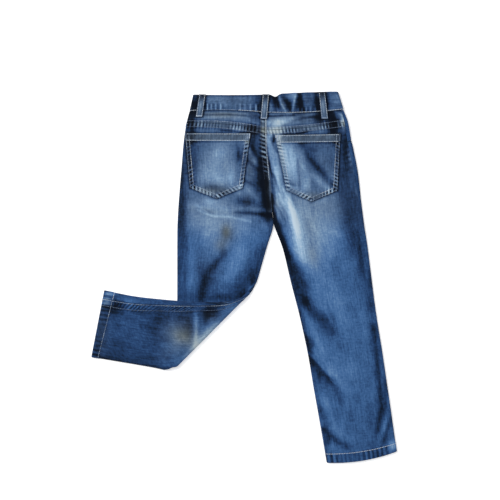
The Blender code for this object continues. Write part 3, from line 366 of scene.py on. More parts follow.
pocketWashAndShading = [
    (-56, 209, 33, 48, 0.38, 0, 0.1), (-41, 186, 30, 15, 0.18), (-71, 242, 17, 15, -0.1),
    (-37, 242, 18, 22, 0.1), (-8, 220, 11, 41, -0.06), (-100, 213, 9, 60, -0.3), (-21, 198, 9, 22, 0.24),
    (-56, 166, 41, 7, 0.1, 0, 0.4), (77, 223, 17, 48, 0.34, -6, 0), (89, 205, 22, 56, 0.22, -6, 0),
    (122, 181, 17, 22, 0.3), (159, 186, 13, 26, 0.18), (170, 238, 9, 33, -0.16),
    (59, 260, 7, 13, 0.36, 0, 0.5), (11, 264, 7, 11, 0.14, 0, 0.6), (126, 157, 26, 7, 0.08, 0, 0.4),
    (-58, 172, 22, 6, -0.3, 0, 0.2), (-6, 170, 7, 9, 0.24), (-78, 186, 9, 26, 0.1), (-48, 238, 18, 11, 0.1),
    (-8, 231, 6, 11, -0.12), (72, 234, 6, 26, 0.2, -8, 0.2), (103, 231, 13, 18, 0.14),
    (126, 244, 9, 7, -0.14), (126, 179, 6, 13, -0.18, -10, 0), (109, 170, 7, 7, 0.1),
    (144, 194, 11, 9, 0.1), (-54, 170, 15, 6, -0.14), (-8, 172, 6, 7, 0.18), (7, 264, 6, 9, 0.2, 0, 0.6),
    (-108, 264, 7, 9, -0.34), (111, 220, 6, 37, 0.1, -6, 0), (127, 177, 6, 13, -0.1, -10, 0),
    (148, 186, 11, 7, 0.08), (-8, 231, 6, 9, -0.1), (-93, 223, 7, 33, -0.12), (-22, 257, 26, 4, 0.2),
    (111, 240, 7, 7, 0.16), (168, 238, 7, 9, 0.14), (140, 221, 9, 9, 0.1), (155, 177, 7, 9, 0.16),
    (-69, 160, 15, 6, 0.18), (-96, 179, 6, 9, -0.12), (-100, 266, 9, 9, -0.7), (66, 266, 7, 7, 1, 0, 0.3),
    (111, 266, 9, 7, -0.4), (155, 266, 11, 7, 0.4), (170, 266, 6, 7, -0.5), (-96, 253, 6, 7, -0.12),
    (3, 253, 9, 7, 0.14), (111, 253, 7, 7, -0.12), (170, 253, 6, 7, -0.14), (66, 238, 6, 9, 0.16),
    (96, 223, 6, 9, 0.1), (-8, 209, 6, 11, 0.14), (126, 194, 7, 9, -0.12), (-59, 179, 15, 7, -0.1),
    (-45, 162, 11, 6, -0.2), (-8, 166, 7, 7, 0.25), (100, 164, 11, 6, 0.14), (126, 164, 7, 6, -0.1),
    (63, 262, 4, 7, 1.6, 0, 0.2), (4, 264, 4, 7, 0.6, 0, 0.8), (-96, 268, 7, 7, -0.4), (-8, 164, 7, 7, 0.2),
    (-37, 164, 7, 6, -0.1), (-82, 166, 7, 6, 0.22), (-96, 268, 9, 7, -0.2), (66, 264, 6, 7, 0.5, 0, 0.1),
    (66, 238, 6, 7, 0.12), (170, 260, 7, 15, -0.14),
]

flapWashAndShading = [
    (-122, -97, 28, 22, 0.22, 0, 0.55), (-100, -115, 18, 15, 0.16, 45, 0.4),
    (-72, -100, 13, 30, 0.22, 45, 0.2), (-37, -56, 7, 26, 0.14, 45, 0.1),
    (-141, -132, 13, 22, 0.12, 45, 0.2), (-145, -65, 18, 11, -0.1), (-69, -60, 15, 11, -0.12),
    (-89, -91, 4, 26, 0.2, 0, 0.2), (-104, -84, 6, 22, -0.08, 0, 0.2), (-211, -100, 41, 26, 0.05),
    (-265, -91, 13, 59, -0.05, 0, 0.25), (-252, -39, 9, 7, 0.3, 0, 0.2), (-193, -31, 48, 7, 0.14),
    (-115, -36, 56, 6, 0.1), (-178, -143, 41, 7, -0.08), (-239, -50, 15, 11, -0.2),
    (-122, -65, 18, 15, -0.14), (-100, -87, 15, 17, -0.12), (-226, -121, 26, 22, -0.12),
    (-167, -87, 22, 11, -0.09), (-163, -119, 15, 11, 0.09), (-124, -128, 11, 17, 0.13, 0, 0.2),
    (-108, -136, 9, 9, 0.1, 40, 0.1), (-196, -58, 18, 9, -0.1), (-59, -62, 17, 9, -0.16),
    (-119, -91, 30, 24, -0.05, 0, 0.22), (-237, -45, 17, 7, -0.13), (-52, -47, 18, 7, -0.14),
    (-111, -47, 17, 7, -0.1), (-244, -58, 7, 11, -0.1), (-141, -134, 15, 9, -0.1),
    (-126, -149, 11, 7, 0.12), (-96, -102, 9, 11, -0.08), (-237, -56, 15, 7, -0.1),
    (-52, -60, 9, 13, -0.14), (-230, -143, 15, 9, -0.1), (-211, -39, 13, 6, 0.1),
    (-159, -136, 13, 11, 0.08), (-244, -25, 7, 6, 0.25), (-244, -39, 7, 6, -0.12), (-215, -43, 9, 11, 0.1),
    (-82, -69, 6, 7, 0.1), (-71, -102, 7, 7, -0.1), (-119, -106, 11, 11, 0.1), (-272, -128, 6, 11, -0.16),
    (-259, -143, 9, 6, -0.12), (-170, -158, 11, 6, -0.1), (-244, -21, 7, 6, 0.2), (-259, -39, 7, 6, 0.1),
    (-82, -113, 7, 6, -0.1), (-252, -23, 7, 5, 0.46, 0, 0.3), (-254, -34, 7, 2, 0.26, 0, 0.4),
    (-254, -42, 7, 3, 0.08, 0, 0.4), (-256, -50, 7, 4, -0.1), (-239, -32, 5, 6, -0.16),
    (-111, -102, 20, 15, 0.05, 0, 0.4), (-24, -50, 9, 7, 0.1), (-148, -56, 22, 7, 0.1),
    (-222, -56, 15, 7, 0.08), (-82, -52, 9, 7, 0.1), (-67, -54, 9, 7, 0.06), (-63, -65, 15, 11, 0, 0, 0.3),
    (-22, -41, 9, 7, 0.08),
]

frontWash = [
    (-44, 60, 44, 100, 0.34, 0, 0.2), (140, 90, 44, 110, 0.34, -8, 0.2), (180, -90, 30, 44, 0.36, -8, 0.8),
    (-50, -80, 40, 30, 0.24, 40, 0.6), (44, 190, 10, 60, -0.16),
]

washBase = {"back": 0.43, "flap": 0.25, "front": 0.34, "band": 0.40, "hidden": 0.30, "inside": 0.62,
            "edgeWear": 0.08}


def smoothStep(value):
    t = np.clip(value, 0.0, 1.0)
    return t * t * (3 - 2 * t)


def bell(distance, width):
    return np.exp(-((distance / width) ** 2))


# Height and tone that the folds give at each place; the tone is wash with painted highlight and shade. A
# fold fades out slowly past its ends.
def foldSums(folds, x, y):
    height, tone = np.zeros_like(x), np.zeros_like(x)
    for route, width, rise, washAndPaintedLight in folds:
        points = list(zip(route[::2], route[1::2]))
        leftWidth, rightWidth = width if isinstance(width, tuple) else (width, width)
        nearest = np.full(x.shape, np.inf)
        last = len(points) - 2
        for n, ((x0, y0), (x1, y1)) in enumerate(zip(points[:-1], points[1:])):
            length = math.hypot(x1 - x0, y1 - y0)
            alongX, alongY = (x1 - x0) / length, (y1 - y0) / length
            run = (x - x0) * alongX + (y - y0) * alongY
            toRight = (x - x0) * alongY - (y - y0) * alongX
            before = np.maximum(-run, 0) * (0.7 if n == 0 else 1)
            after = np.maximum(run - length, 0) * (0.7 if n == last else 1)
            widths = np.where(toRight > 0, rightWidth, leftWidth)
            nearest = np.minimum(nearest, (toRight**2 + before**2 + after**2) / widths**2)
        shape = np.exp(-nearest)
        height += rise * shape
        tone += washAndPaintedLight * shape
    return height, tone


# Tone and warmth that the wash marks, painted shade and highlight among them, give at each place
def washAndShadingSums(marks, x, y):
    tone, warmth = np.zeros_like(x), np.zeros_like(x)
    for markX, markY, across, along, washAndPaintedLight, *rest in marks:
        lean, warmer = rest or (0, 0)
        angle = -math.radians(lean)
        right = (x - markX) * math.cos(angle) + (y - markY) * math.sin(angle)
        up = (y - markY) * math.cos(angle) - (x - markX) * math.sin(angle)
        shape = np.exp(-((right / across) ** 2) - (up / along) ** 2)
        tone += washAndPaintedLight * shape
        warmth += warmer * shape
    return tone, warmth


# The uneven ripple that a stitched seam draws the cloth into, from -1 to 1, with blunt tops
def pucker(run, pitch, seed, blunt=2.0):
    drift = 1.5 * np.sin(run / 23 + seed) + 0.9 * np.sin(run / 9.1 + 2.3 * seed)
    size = np.clip(0.7 + 0.4 * np.sin(run / 13.3 + 1.9 * seed) + 0.25 * np.sin(run / 5.3 + seed), 0.12, 1.1)
    return size * np.tanh(blunt * np.sin(2 * math.pi * run / pitch + drift))


def floorHeight(y):
    return waist["lift"] * (1 - smoothStep((waist["y"] - waist["liftFlat"] - y) / waist["liftFade"]))


def outlineX(rows, y, edge):
    heights = np.array([getattr(row, edge + "Y") for row in rows])[::-1]
    places = np.array([getattr(row, edge + "X") for row in rows])[::-1]
    return np.interp(y, heights, places)


# Height of the back face and the tone that its folds give, with their painted highlight and shade
def backSurface(side, x, y):
    rows = sideRows[side]
    outer, inner = outlineX(rows, y, "outer"), outlineX(rows, y, "inner")
    share = np.clip((x - outer) / (inner - outer), 0, 1)
    inLeg = smoothStep((110 - y) / 30)
    crown = cloth["crown"] * ((1 - inLeg) * share * (2 - share) + inLeg * 4 * share * (1 - share))
    folds, tone = foldSums(backFolds, x, y)
    creases, creaseTone = foldSums(rightCreases if side == "right" else leftCreases, x, y)
    folds, tone = folds + creases, tone + creaseTone
    deepest = -(cloth["loft"] - 2 * cloth["wall"] - cloth["seamGap"])
    folds = np.maximum(folds, deepest)
    folds *= 1 - smoothStep((135 - y) / 20) * (1 - smoothStep(abs(inner - x) / 14))
    if side == "left":
        shown = smoothStep((y - kneeFold["coverTop"]) / kneeFold["coverFade"])
        crown, folds = crown * shown, folds * shown
    folds *= smoothStep((waist["y"] - 20 - y) / 20)
    rise = waist["rise"] * (1 - smoothStep((waist["y"] - 30 - y) / waist["riseFade"]))
    return cloth["loft"] + crown + rise + folds, tone


# A rolled edge, by the path length from its middle: inset, share of the loft and the normal
def edgeProfile(path):
    angle = math.pi / 2 * np.clip(path / quarterRoll, -1, 1)
    inset = cloth["edgeReach"] * (1 - np.cos(angle)) + np.maximum(np.abs(path) - quarterRoll, 0)
    share = (1 + np.sin(angle)) / 2
    out, up = np.cos(angle) / cloth["edgeReach"], np.sin(angle) / (cloth["loft"] / 2)
    size = np.hypot(out, up)
    return inset, share, out / size, up / size


def rolledEdge(seam, end, count, face):
    path = np.linspace(seam, end, count)
    inset, share, out, up = edgeProfile(path)
    inset[0] += face * up[0] * cloth["seamGap"] / 2
    share[0] += face * out[0] * cloth["seamGap"] / 2 / cloth["loft"]
    return np.column_stack([inset, share, out, up, abs(path - seam)])


# Columns across a panel: inset from the outer edge, loft share, normal, and the cloth's length
# from the outer and from the inner seam
def panelColumns(width, row, face, counts, outSeam=None):
    rollPoints, flatPoints = counts
    start = row.outSeam if outSeam is None else outSeam
    first = rolledEdge(start, face * max(rollEnd, face * start + 3), rollPoints, face)
    first[:, 2] *= -1
    rolled = rolledEdge(row.inSeam, face * max(rollEnd, face * row.inSeam + 3), rollPoints, face)[::-1]
    rolled[:, 0] = width - rolled[:, 0]
    insets = np.linspace(cloth["lap"] * 1.5, -0.15 if face > 0 else cloth["seamGap"] / 2, rollPoints)
    level = np.full(rollPoints, (1 + face) / 2)
    plain = np.column_stack([width - insets, level, 0 * insets, face + 0 * insets, insets])
    last = (1 - row.roll) * plain + row.roll * rolled
    last[:, 2:4] /= np.hypot(last[:, 2], last[:, 3])[:, None]
    spread = np.linspace(first[-1, 0], last[0, 0], flatPoints + 2)[1:-1]
    flat = np.full(flatPoints, float(face))
    middle = np.column_stack([spread, (1 + flat) / 2, 0 * flat, flat, 0 * flat])
    fromOuter = np.concatenate([
        first[:, 4], first[-1, 4] + spread - first[-1, 0], first[-1, 4] + last[:, 0] - first[-1, 0]
    ])
    fromInner = np.concatenate([
        last[0, 4] + last[0, 0] - first[:, 0], last[0, 4] + last[0, 0] - spread, last[:, 4]
    ])
    return np.column_stack([np.vstack([first, middle, last])[:, :4], fromOuter, fromInner])


def rowWidth(row):
    return math.hypot(row.innerX - row.outerX, row.innerY - row.outerY)


# Plan points of a row at distances in from its outer edge
def rowPlaces(row, distances):
    start = np.array([row.outerX, row.outerY])
    along = (np.array([row.innerX, row.innerY]) - start) / rowWidth(row)
    down = np.array([-along[1], along[0]]) * (-1 if row.innerX > row.outerX else 1)
    share = np.clip(distances / rowWidth(row), 0, 1)
    sag = row.bow * 4 * share * (1 - share) + row.dip * share**2
    return start + distances[:, None] * along + sag[:, None] * down


# The row at a fractional place in the table, on a smooth curve through the table's rows
def blendRow(rows, place):
    n = min(int(place), len(rows) - 2)
    t = place - n
    before, here, after, beyond = (np.array(rows[min(max(n + k, 0), len(rows) - 1)]) for k in (-1, 0, 1, 2))
    if n == 0:
        before = 2 * here - after
    if n == len(rows) - 2:
        beyond = 2 * after - here
    bend = 2 * here + (after - before) * t
    bend += (2 * before - 5 * here + 4 * after - beyond) * t**2
    bend += (3 * here - before - 3 * after + beyond) * t**3
    values = Row(*(bend / 2))
    if not here[5]:
        straight = Row(*(here + (after - here) * t))
        values = values._replace(innerX=straight.innerX, innerY=straight.innerY)
    return values._replace(roll=float(here[5] + (after[5] - here[5]) * smoothStep(t)))


def middleStep(rows, n):
    one, two = np.array(rows[n][:4]), np.array(rows[n + 1][:4])
    return math.hypot(*((two - one)[:2] + (two - one)[2:]) / 2)


def shifted(rows, place, distance):
    n = min(int(place), len(rows) - 2) if distance > 0 else max(math.ceil(place) - 1, 0)
    return place + distance / middleStep(rows, n)


# Stations from one place in a table to another, about a step apart
def tableStations(rows, first, last, step, turn):
    ends = len(rows) - 1.0
    places = [first]
    for n in range(int(first), math.ceil(last)):
        low, high = max(first, n), min(last, n + 1)
        count = max(1, round((high - low) * middleStep(rows, n) / step))
        places += [low + (high - low) * (k + 1) / count for k in range(count)]
    toEnd = [(ends - place) * middleStep(rows, len(rows) - 2) for place in places]
    legEnds = rows is not leftRows
    return [Station(blendRow(rows, p), p, turn, d if legEnds else 1e3) for p, d in zip(places, toEnd)]


def foldStations():
    start, end = np.array(leftRows[-1]), np.array(turnedRows[0])
    stations = []
    for step in range(1, kneeFold["steps"]):
        share = step / kneeFold["steps"]
        row = Row(*(start + (end - start) * share))
        stations.append(Station(row, len(leftRows) - 1.0, math.pi * share, 1e3))
    return stations


def legStations(side, first, step, turnedStep):
    if side == "right":
        return tableStations(rightRows, first, len(rightRows) - 1.0, step, 0.0)
    stations = tableStations(leftRows, first, len(leftRows) - 1.0, step, 0.0) + foldStations()
    return stations + tableStations(turnedRows, 0.0, len(turnedRows) - 1.0, turnedStep, math.pi)


# Everything that a panel's maker reads about its grid of points, as arrays
def gridOf(stations, face, counts, rowOf=None, seamOf=None):
    grid = defaultdict(list)
    for station in stations:
        row = rowOf(station) if rowOf else station.row
        width = rowWidth(row)
        columns = panelColumns(width, row, face, counts, seamOf(station) if seamOf else None)
        places = rowPlaces(row, columns[:, 0])
        turned = station.turn / math.pi
        flat = abs(row.innerX - row.outerX) * (1 - turned) + abs(row.innerY - row.outerY) * turned
        values = {
            **dict(zip(("inset", "share", "out", "up", "fromOuter", "fromInner"), columns.T)),
            "x": places[:, 0], "y": places[:, 1], "width": width, "flat": flat, "roll": row.roll,
            "acrossX": (row.innerX - row.outerX) / width, "acrossY": (row.innerY - row.outerY) / width,
            "turn": station.turn, "place": station.place, "toEnd": station.toEnd,
        }
        for key, value in values.items():
            grid[key].append(value if np.ndim(value) else np.full(len(columns), value))
    return {key: np.array(value) for key, value in grid.items()}


# Outer and inner points of a panel. rise moves its outer face out along the normal.
def layPanel(grid, back, front, wall, rise):
    back = np.maximum(back, front + 2 * wall + 1.5 * cloth["seamGap"])
    level = back * grid["share"] + front * (1 - grid["share"])
    thin = np.minimum(wall, cloth["edgeWall"] + 0.7 * abs(grid["up"]) ** 3)
    skins = []
    for depth in (-rise, thin):
        radius = foldCentre - (level - depth * grid["up"])
        outX, outY = (radius * np.sin(grid["turn"]) * away for away in kneeFold["out"])
        x = grid["x"] - depth * grid["out"] * grid["acrossX"] + outX
        y = grid["y"] - depth * grid["out"] * grid["acrossY"] + outY
        z = foldCentre - radius * np.cos(grid["turn"])
        drop = smoothStep((kneeFold["dropStart"] - x) / kneeFold["dropRun"])
        z = z - (grid["turn"] > 0) * drop * np.minimum(z, cloth["loft"] + kneeFold["gap"])
        skins.append(np.stack([x, y, z], axis=-1))
    return skins


# Length along a line, or along each column of a grid, at each of its points
def lengthAlong(points):
    steps = np.linalg.norm(np.diff(points, axis=0), axis=-1)
    return np.concatenate([0 * steps[:1], np.cumsum(steps, axis=0)])


# Where each point of a grid lies on the uncut cloth, in metres
def clothPlaces(points, inset, width, flat):
    return np.stack([(inset / width - 0.5) * flat * mm, -lengthAlong(points) * mm], axis=-1)


def addObject(name, data, place=(0, 0, 0)):
    obj = bpy.data.objects.new(name, data)
    obj.location = place
    bpy.context.scene.collection.objects.link(obj)
    return obj


def setValues(mesh, name, values):
    mesh.attributes.new(name, "FLOAT", "POINT").data.foreach_set("value", values.astype(np.float32))


def setMap(mesh, name, places):
    corners = np.zeros(len(mesh.loops), np.int32)
    mesh.loops.foreach_get("vertex_index", corners)
    layer = mesh.uv_layers.new(name=name)
    layer.data.foreach_set("uv", places[corners].astype(np.float32).ravel())


# One closed shell from two grids of points, its cut edges rounded and worn paler
def clothShell(name, outer, inner, tone, warmth, places, insideTone=None):
    rows, columns = outer.shape[:2]
    outer, inner = outer.copy(), inner.copy()
    rim = [(0, c) for c in range(columns)] + [(r, columns - 1) for r in range(1, rows)]
    rim += [(rows - 1, c) for c in range(columns - 2, -1, -1)] + [(r, 0) for r in range(rows - 2, 0, -1)]
    rimRow, rimColumn = np.array(rim).T
    middle = (outer[rimRow, rimColumn] + inner[rimRow, rimColumn]) / 2
    wall = np.linalg.norm(outer[rimRow, rimColumn] - inner[rimRow, rimColumn], axis=1)
    nearRow, nearColumn = np.clip(rimRow, 1, rows - 2), np.clip(rimColumn, 1, columns - 2)
    for skin in (outer, inner):
        inward = skin[nearRow, nearColumn] - skin[rimRow, rimColumn]
        reach = np.linalg.norm(inward, axis=1)
        moved = np.minimum(cloth["roundShare"] * wall, 0.4 * reach) / np.maximum(reach, 1e-6)
        skin[rimRow, rimColumn] += inward * moved[:, None]
    points = np.concatenate([outer.reshape(-1, 3), inner.reshape(-1, 3), middle])
    points -= np.array([*layCentre, 0.0])
    index = np.arange(rows * columns).reshape(rows, columns)
    quads = np.stack([index[:-1, :-1], index[1:, :-1], index[1:, 1:], index[:-1, 1:]], axis=-1)
    quads = quads.reshape(-1, 4)
    inside = quads[:, ::-1] + rows * columns
    ring = index[rimRow, rimColumn]
    middles = 2 * rows * columns + np.arange(len(ring))
    after = np.roll(np.arange(len(ring)), -1)
    upper = np.stack([ring, ring[after], middles[after], middles], axis=-1)
    ringIn = ring + rows * columns
    lower = np.stack([middles, middles[after], ringIn[after], ringIn], axis=-1)
    faces = np.concatenate([quads, inside, upper, lower])
    a, b, c, d = (points[faces[:, k]] for k in range(4))
    volume = np.einsum("ij,ij->i", a, np.cross(b, c) + np.cross(c, d)).sum()
    if volume < 0:
        faces = faces[:, ::-1]
    mesh = bpy.data.meshes.new(name)
    mesh.from_pydata((points * mm).tolist(), [], faces.tolist())
    slots = np.repeat([0, 1, 0], [len(quads), len(quads), 2 * len(ring)])
    mesh.polygons.foreach_set("material_index", slots)
    mesh.shade_smooth()
    obj = addObject(name, mesh)
    for material in (denim, denimInside):
        mesh.materials.append(material)
    flatTone, flatWarmth = tone.ravel(), warmth.ravel()
    insideTones = np.full(rows * columns, washBase["inside"]) if insideTone is None else insideTone.ravel()
    tones = np.concatenate([flatTone, insideTones, flatTone[ring] + washBase["edgeWear"]])
    warmths = np.concatenate([flatWarmth, 0 * flatWarmth, flatWarmth[ring]])
    setValues(mesh, "tone", tones)
    setValues(mesh, "warmth", warmths)
    flatPlaces = places.reshape(-1, 2)
    setMap(mesh, "cloth", np.concatenate([flatPlaces, flatPlaces, flatPlaces[ring]]))
    mesh.validate()
    return obj


def rideAndReplace(obj, *nodes, slot="denim"):
    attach(obj, "root")
    if nodes:
        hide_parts(*nodes)
    return obj


# Patch pockets: top outer, top inner, low inner, point and low outer corners
patchPockets = {
    "left": ((-110.0, 273.0), (12.0, 272.5), (-2.0, 171.5), (-51.0, 150.8), (-101.0, 171.5)),
    "right": ((178.5, 271.5), (56.8, 269.3), (78.0, 166.5), (124.8, 145.6), (173.0, 166.5)),
    "gap": 0.35,
    "reach": 3.0,
    "hem": 14.0,
    "hemRise": 0.5,
    "band": 7.6,
    "points": (97, 89),
}


# Belt loops: middle of the top and lower ends
beltLoops = {
    "width": 12.5,
    "wall": 1.4,
    "arch": 1.3,
    "dome": 0.3,
    "clear": 1.2,
    "bandShare": 0.84,
    "rows": 44,
    "columns": 13,
    "edge": 1.5,  # from its edges to its two lines of stitches
    "back": {"back_left": (-77.0, 344.3, -83.2, 302.4), "back_centre": (40.0, 344.3, 36.4, 298.4),
             "back_right": (143.4, 348.8, 149.0, 298.8)},
    "front": {"front_left": (-44.0, 338.0, -46.0, 297.0), "front_right": (124.0, 340.0, 126.0, 299.0)},
}


# How far a place in the plan is outside a pocket's outline
def outsidePocket(side, x, y):
    topOut, topIn, lowIn, point, lowOut = patchPockets[side]
    corners = [topOut, lowOut, point, lowIn, topIn, topOut]
    middle = np.mean(corners[:-1], axis=0)
    distance = np.full_like(x, -1e3)
    for (x0, y0), (x1, y1) in zip(corners[:-1], corners[1:]):
        length = math.hypot(x1 - x0, y1 - y0)
        outX, outY = (y1 - y0) / length, (x0 - x1) / length
        if (middle[0] - x0) * outX + (middle[1] - y0) * outY > 0:
            outX, outY = -outX, -outY
        distance = np.maximum(distance, (x - x0) * outX + (y - y0) * outY)
    return distance


# The dye of the seat is greyer, but for its darkest and its palest cloth
def seatGrey(tone, y, most=0.42):
    middling = (0.3 + 0.7 * smoothStep((tone - 0.1) / 0.4)) * (1 - 0.75 * smoothStep((tone - 0.6) / 0.3))
    return most * middling * smoothStep((y - 70) / 70)


# Painted shade: the cloth is darker just beside the pockets and the belt loops
def besideShade(side, x, y):
    tone = -0.30 * bell(np.maximum(outsidePocket(side, x, y), 0), 2.4)
    for topX, topY, lowX, lowY in beltLoops["back"].values():
        share = (topY - y) / (topY - lowY)
        aside = abs(x - (topX + (lowX - topX) * share)) - beltLoops["width"] / 2
        tone -= 0.34 * bell(np.maximum(aside, 0), 3.2) * smoothStep((1.08 - share) / 0.08)
    return tone


def edgeShade(grid):
    fromEdge = np.minimum(grid["inset"], np.where(grid["roll"] > 0.5, grid["width"] - grid["inset"], 1e3))
    return -0.15 * bell(fromEdge, 6.5)


# A stitched band beside a seam: its height and tone, by the distance from the seam and along it. Its tone
# is wash with painted highlight on the puckers' tops, and painted shade in their dips and along the band's
# edges.
def seamBand(across, along, end, rise, pitch, seed, start=-2.0, slant=0.15, glow=0.3, base=-0.1):
    inside = smoothStep((across - start) / 1.2 + 0.5) * smoothStep((end - across) / 1.2 + 0.5)
    beyond = 0.45 * bell(across - end, 4.5) * (across > end)
    wave = pucker(along + slant * across, pitch, seed)
    groove = bell(across - end + 0.7, 0.9)
    height = inside * (rise + 0.3 * wave) + 0.15 * beyond * wave - 0.18 * groove
    shade = -0.16 * bell(across - end - 1.8, 1.4) - 0.1 * bell(across - start, 1.2)
    tone = (glow * np.maximum(wave, 0) + 0.5 * glow * np.minimum(wave, 0) + base) * inside
    return height, tone + 0.5 * glow * wave * beyond + shade, inside


backPanel = {
    "seamStep": 1.1,  # rows beside the yoke's seam
    "seatStep": 1.8,  # down to seatEnd, a place in the table
    "seatEnd": 6.0,
    "step": 2.4,
    "hiddenStep": 6.0,
    "counts": (12, 66),
    # how far each half's band beside the centre seam reaches, its slant, glow (painted highlight on its
    # puckers, with wash) and tone
    "centreBand": {"left": (8.3, -0.35, 0.8, -0.22), "right": (3.0, 0.3, 0.15, -0.06)},
    "yokeBandBelow": 8.3,
    "yokeBandAbove": 4.7,
    "hipPucker": 165.0,  # the side seam is puckered above this height
}
frontPanel = {"step": 6.0, "flapStep": 2.4, "counts": (12, 46), "inseamBand": 13.6}
seeds = {"back": {"left": 1.3, "right": 4.1}, "front": {"left": 2.2, "right": 5.7},
         "pocket": {"left": 0.7, "right": 3.9}}  # of the puckers
sideWashAndShading = {"left": leftWashAndShading, "right": rightWashAndShading}
faces = {}  # each panel's outer points and its distances from seams and ends, for the stitches


# Painted shade: the wrong side is darker deep in the crotch
def crotchShade(grid):
    inCrotch = smoothStep((150 - abs(grid["y"] - 140)) / 60) * bell(grid["fromInner"], 16)
    return washBase["inside"] - 0.75 * inCrotch


def makeBackPiece(name, side, stations, isYoke):
    grid = gridOf(stations, 1, backPanel["counts"])
    rows = sideRows[side]
    x, y, turned = grid["x"], grid["y"], grid["turn"] > 0
    seed = seeds["back"][side]
    back, tone = backSurface(side, x, y)
    back[turned] = cloth["loft"]
    front = np.where(turned, -flapHeight(grid)[0], floorHeight(y))
    washAndShading, warmth = washAndShadingSums(sideWashAndShading[side], x, y)
    flapMarks, flapWarmth = washAndShadingSums(flapWashAndShading, x, y)
    tone += washBase["back"] + washAndShading + besideShade(side, x, y)
    tone = np.where(turned, washBase["hidden"] + flapMarks, tone) + edgeShade(grid)
    warmth = np.where(turned, flapWarmth, warmth)
    hem, hemWave, wall, rise = hemForm(grid, seed)
    # the felled seam down the centre
    flatCentre = (grid["roll"] < 0.5) & ~turned
    reach, slant, glow, base = backPanel["centreBand"][side]
    band, shade, inside = seamBand(grid["fromInner"], y, reach, cloth["lapRise"], 8.6, seed,
                                   slant=slant, glow=glow, base=base)
    rise += band * flatCentre
    tone += shade * flatCentre * smoothStep((y - 190) / 16)
    warmth += 0.5 * inside * flatCentre
    # the yoke's seam
    belowSeam = (grid["place"] - 1) * middleStep(rows, 0 if isYoke else 1)
    if isYoke:
        band, shade, inside = seamBand(-belowSeam, grid["inset"], backPanel["yokeBandAbove"], 0.2, 6.2,
                                       seed + 2)
    else:
        band, shade, inside = seamBand(belowSeam, grid["inset"], backPanel["yokeBandBelow"], 0.55, 6.2,
                                       seed + 2, slant=0, glow=0.6, base=-0.12)
    rise += band
    tone += shade
    warmth += 0.35 * inside
    # painted shadow along the yoke's top, under the waistband's lower edge
    if isYoke:
        tone -= 0.26 * bell(grid["place"] * middleStep(rows, 0), 2.2)
    # the side seam draws in where it is rolled onto the back; painted highlight and shade on its ripples
    atHip = smoothStep((y - backPanel["hipPucker"]) / 20) * (side == "right") * ~turned
    wave = pucker(y + 0.4 * grid["fromOuter"], 11.0, seed + 4) * bell(grid["fromOuter"], 12)
    rise += 0.4 * wave * atHip
    tone += 0.10 * wave * atHip
    # painted highlight and shade on the hem's ripple, with wear; the hem is darker
    tone += 0.17 * hemWave - 0.12 * hem
    outer, inner = layPanel(grid, back, front, wall, rise)
    warmth += seatGrey(tone, y) * ~turned
    places = clothPlaces(outer, grid["inset"], grid["width"], grid["flat"])
    faces[name] = {"outer": outer, "belowSeam": belowSeam, **grid}
    return clothShell(name, outer, inner, tone, warmth, places, crotchShade(grid))


# The hem's share of each point (1 in the hem, 0 above it), its ripple, its wall and its rise
def hemForm(grid, seed):
    hem = smoothStep((cloth["hemHeight"] + 0.6 - grid["toEnd"]) / 1.2)
    wave = pucker(grid["inset"], 9.0, seed + 5) * hem
    wall = cloth["wall"] + (cloth["hemWall"] - cloth["wall"]) * hem
    return hem, wave, wall, cloth["hemRise"] * hem + 0.22 * wave


# The folded leg is paler along its fold: wear, with a painted highlight on its rounded edge
flapRim = {"tone": 0.62, "width": 7.0, "x": -74.0, "length": 30.0, "least": 0.2}


# How far the folded leg's face stands above its plain level, the tone of its folds, and its rim
def flapHeight(grid):
    x, y = grid["x"], grid["y"]
    share = np.clip(grid["inset"] / grid["width"], 0, 1)
    fold, (outX, outY) = turnedRows[0], kneeFold["out"]
    fromFold = -((x - fold.outerX) * outX + (y - fold.outerY) * outY)
    shown = smoothStep(fromFold / 14) * (grid["turn"] > 3.14)
    folds, tone = foldSums(flapFolds + flapCreases, x, y)
    paleAlongFold = flapRim["least"] + (1 - flapRim["least"]) * bell(x - flapRim["x"], flapRim["length"])
    rim = paleAlongFold * np.exp(-np.maximum(fromFold, 0) / (flapRim["width"] * paleAlongFold + 2))
    return shown * (cloth["crown"] * 4 * share * (1 - share) + folds), tone + flapRim["tone"] * rim, rim


def frontRow(station):
    row = station.row
    if station.turn == 0 and station.place < 2:
        row = row._replace(dip=waist["frontDip"] * (1 - station.place / 2))
    if station.turn == 0 and station.place == 0:
        row = row._replace(outerY=row.outerY - cloth["seamGap"], innerY=row.innerY - cloth["seamGap"])
    return row


scoop = {"width": 52.0, "depth": 62.0, "power": 2.3, "least": 3.0, "facingStep": 0.9, "facingColumns": 30,
         "facingTone": 0.30}


# How far the scoop pocket's mouth reaches in at a station, along the cloth
def scoopReach(side, station):
    rows = sideRows[side]
    row = frontRow(station)
    down = rows[0].outerY - row.outerY
    share = 1 - min(down / scoop["depth"], 1.0) ** scoop["power"]
    reach = (row.outSeam + quarterRoll + scoop["width"]) * share
    return reach if reach > scoop["least"] and station.turn == 0 else 0.0


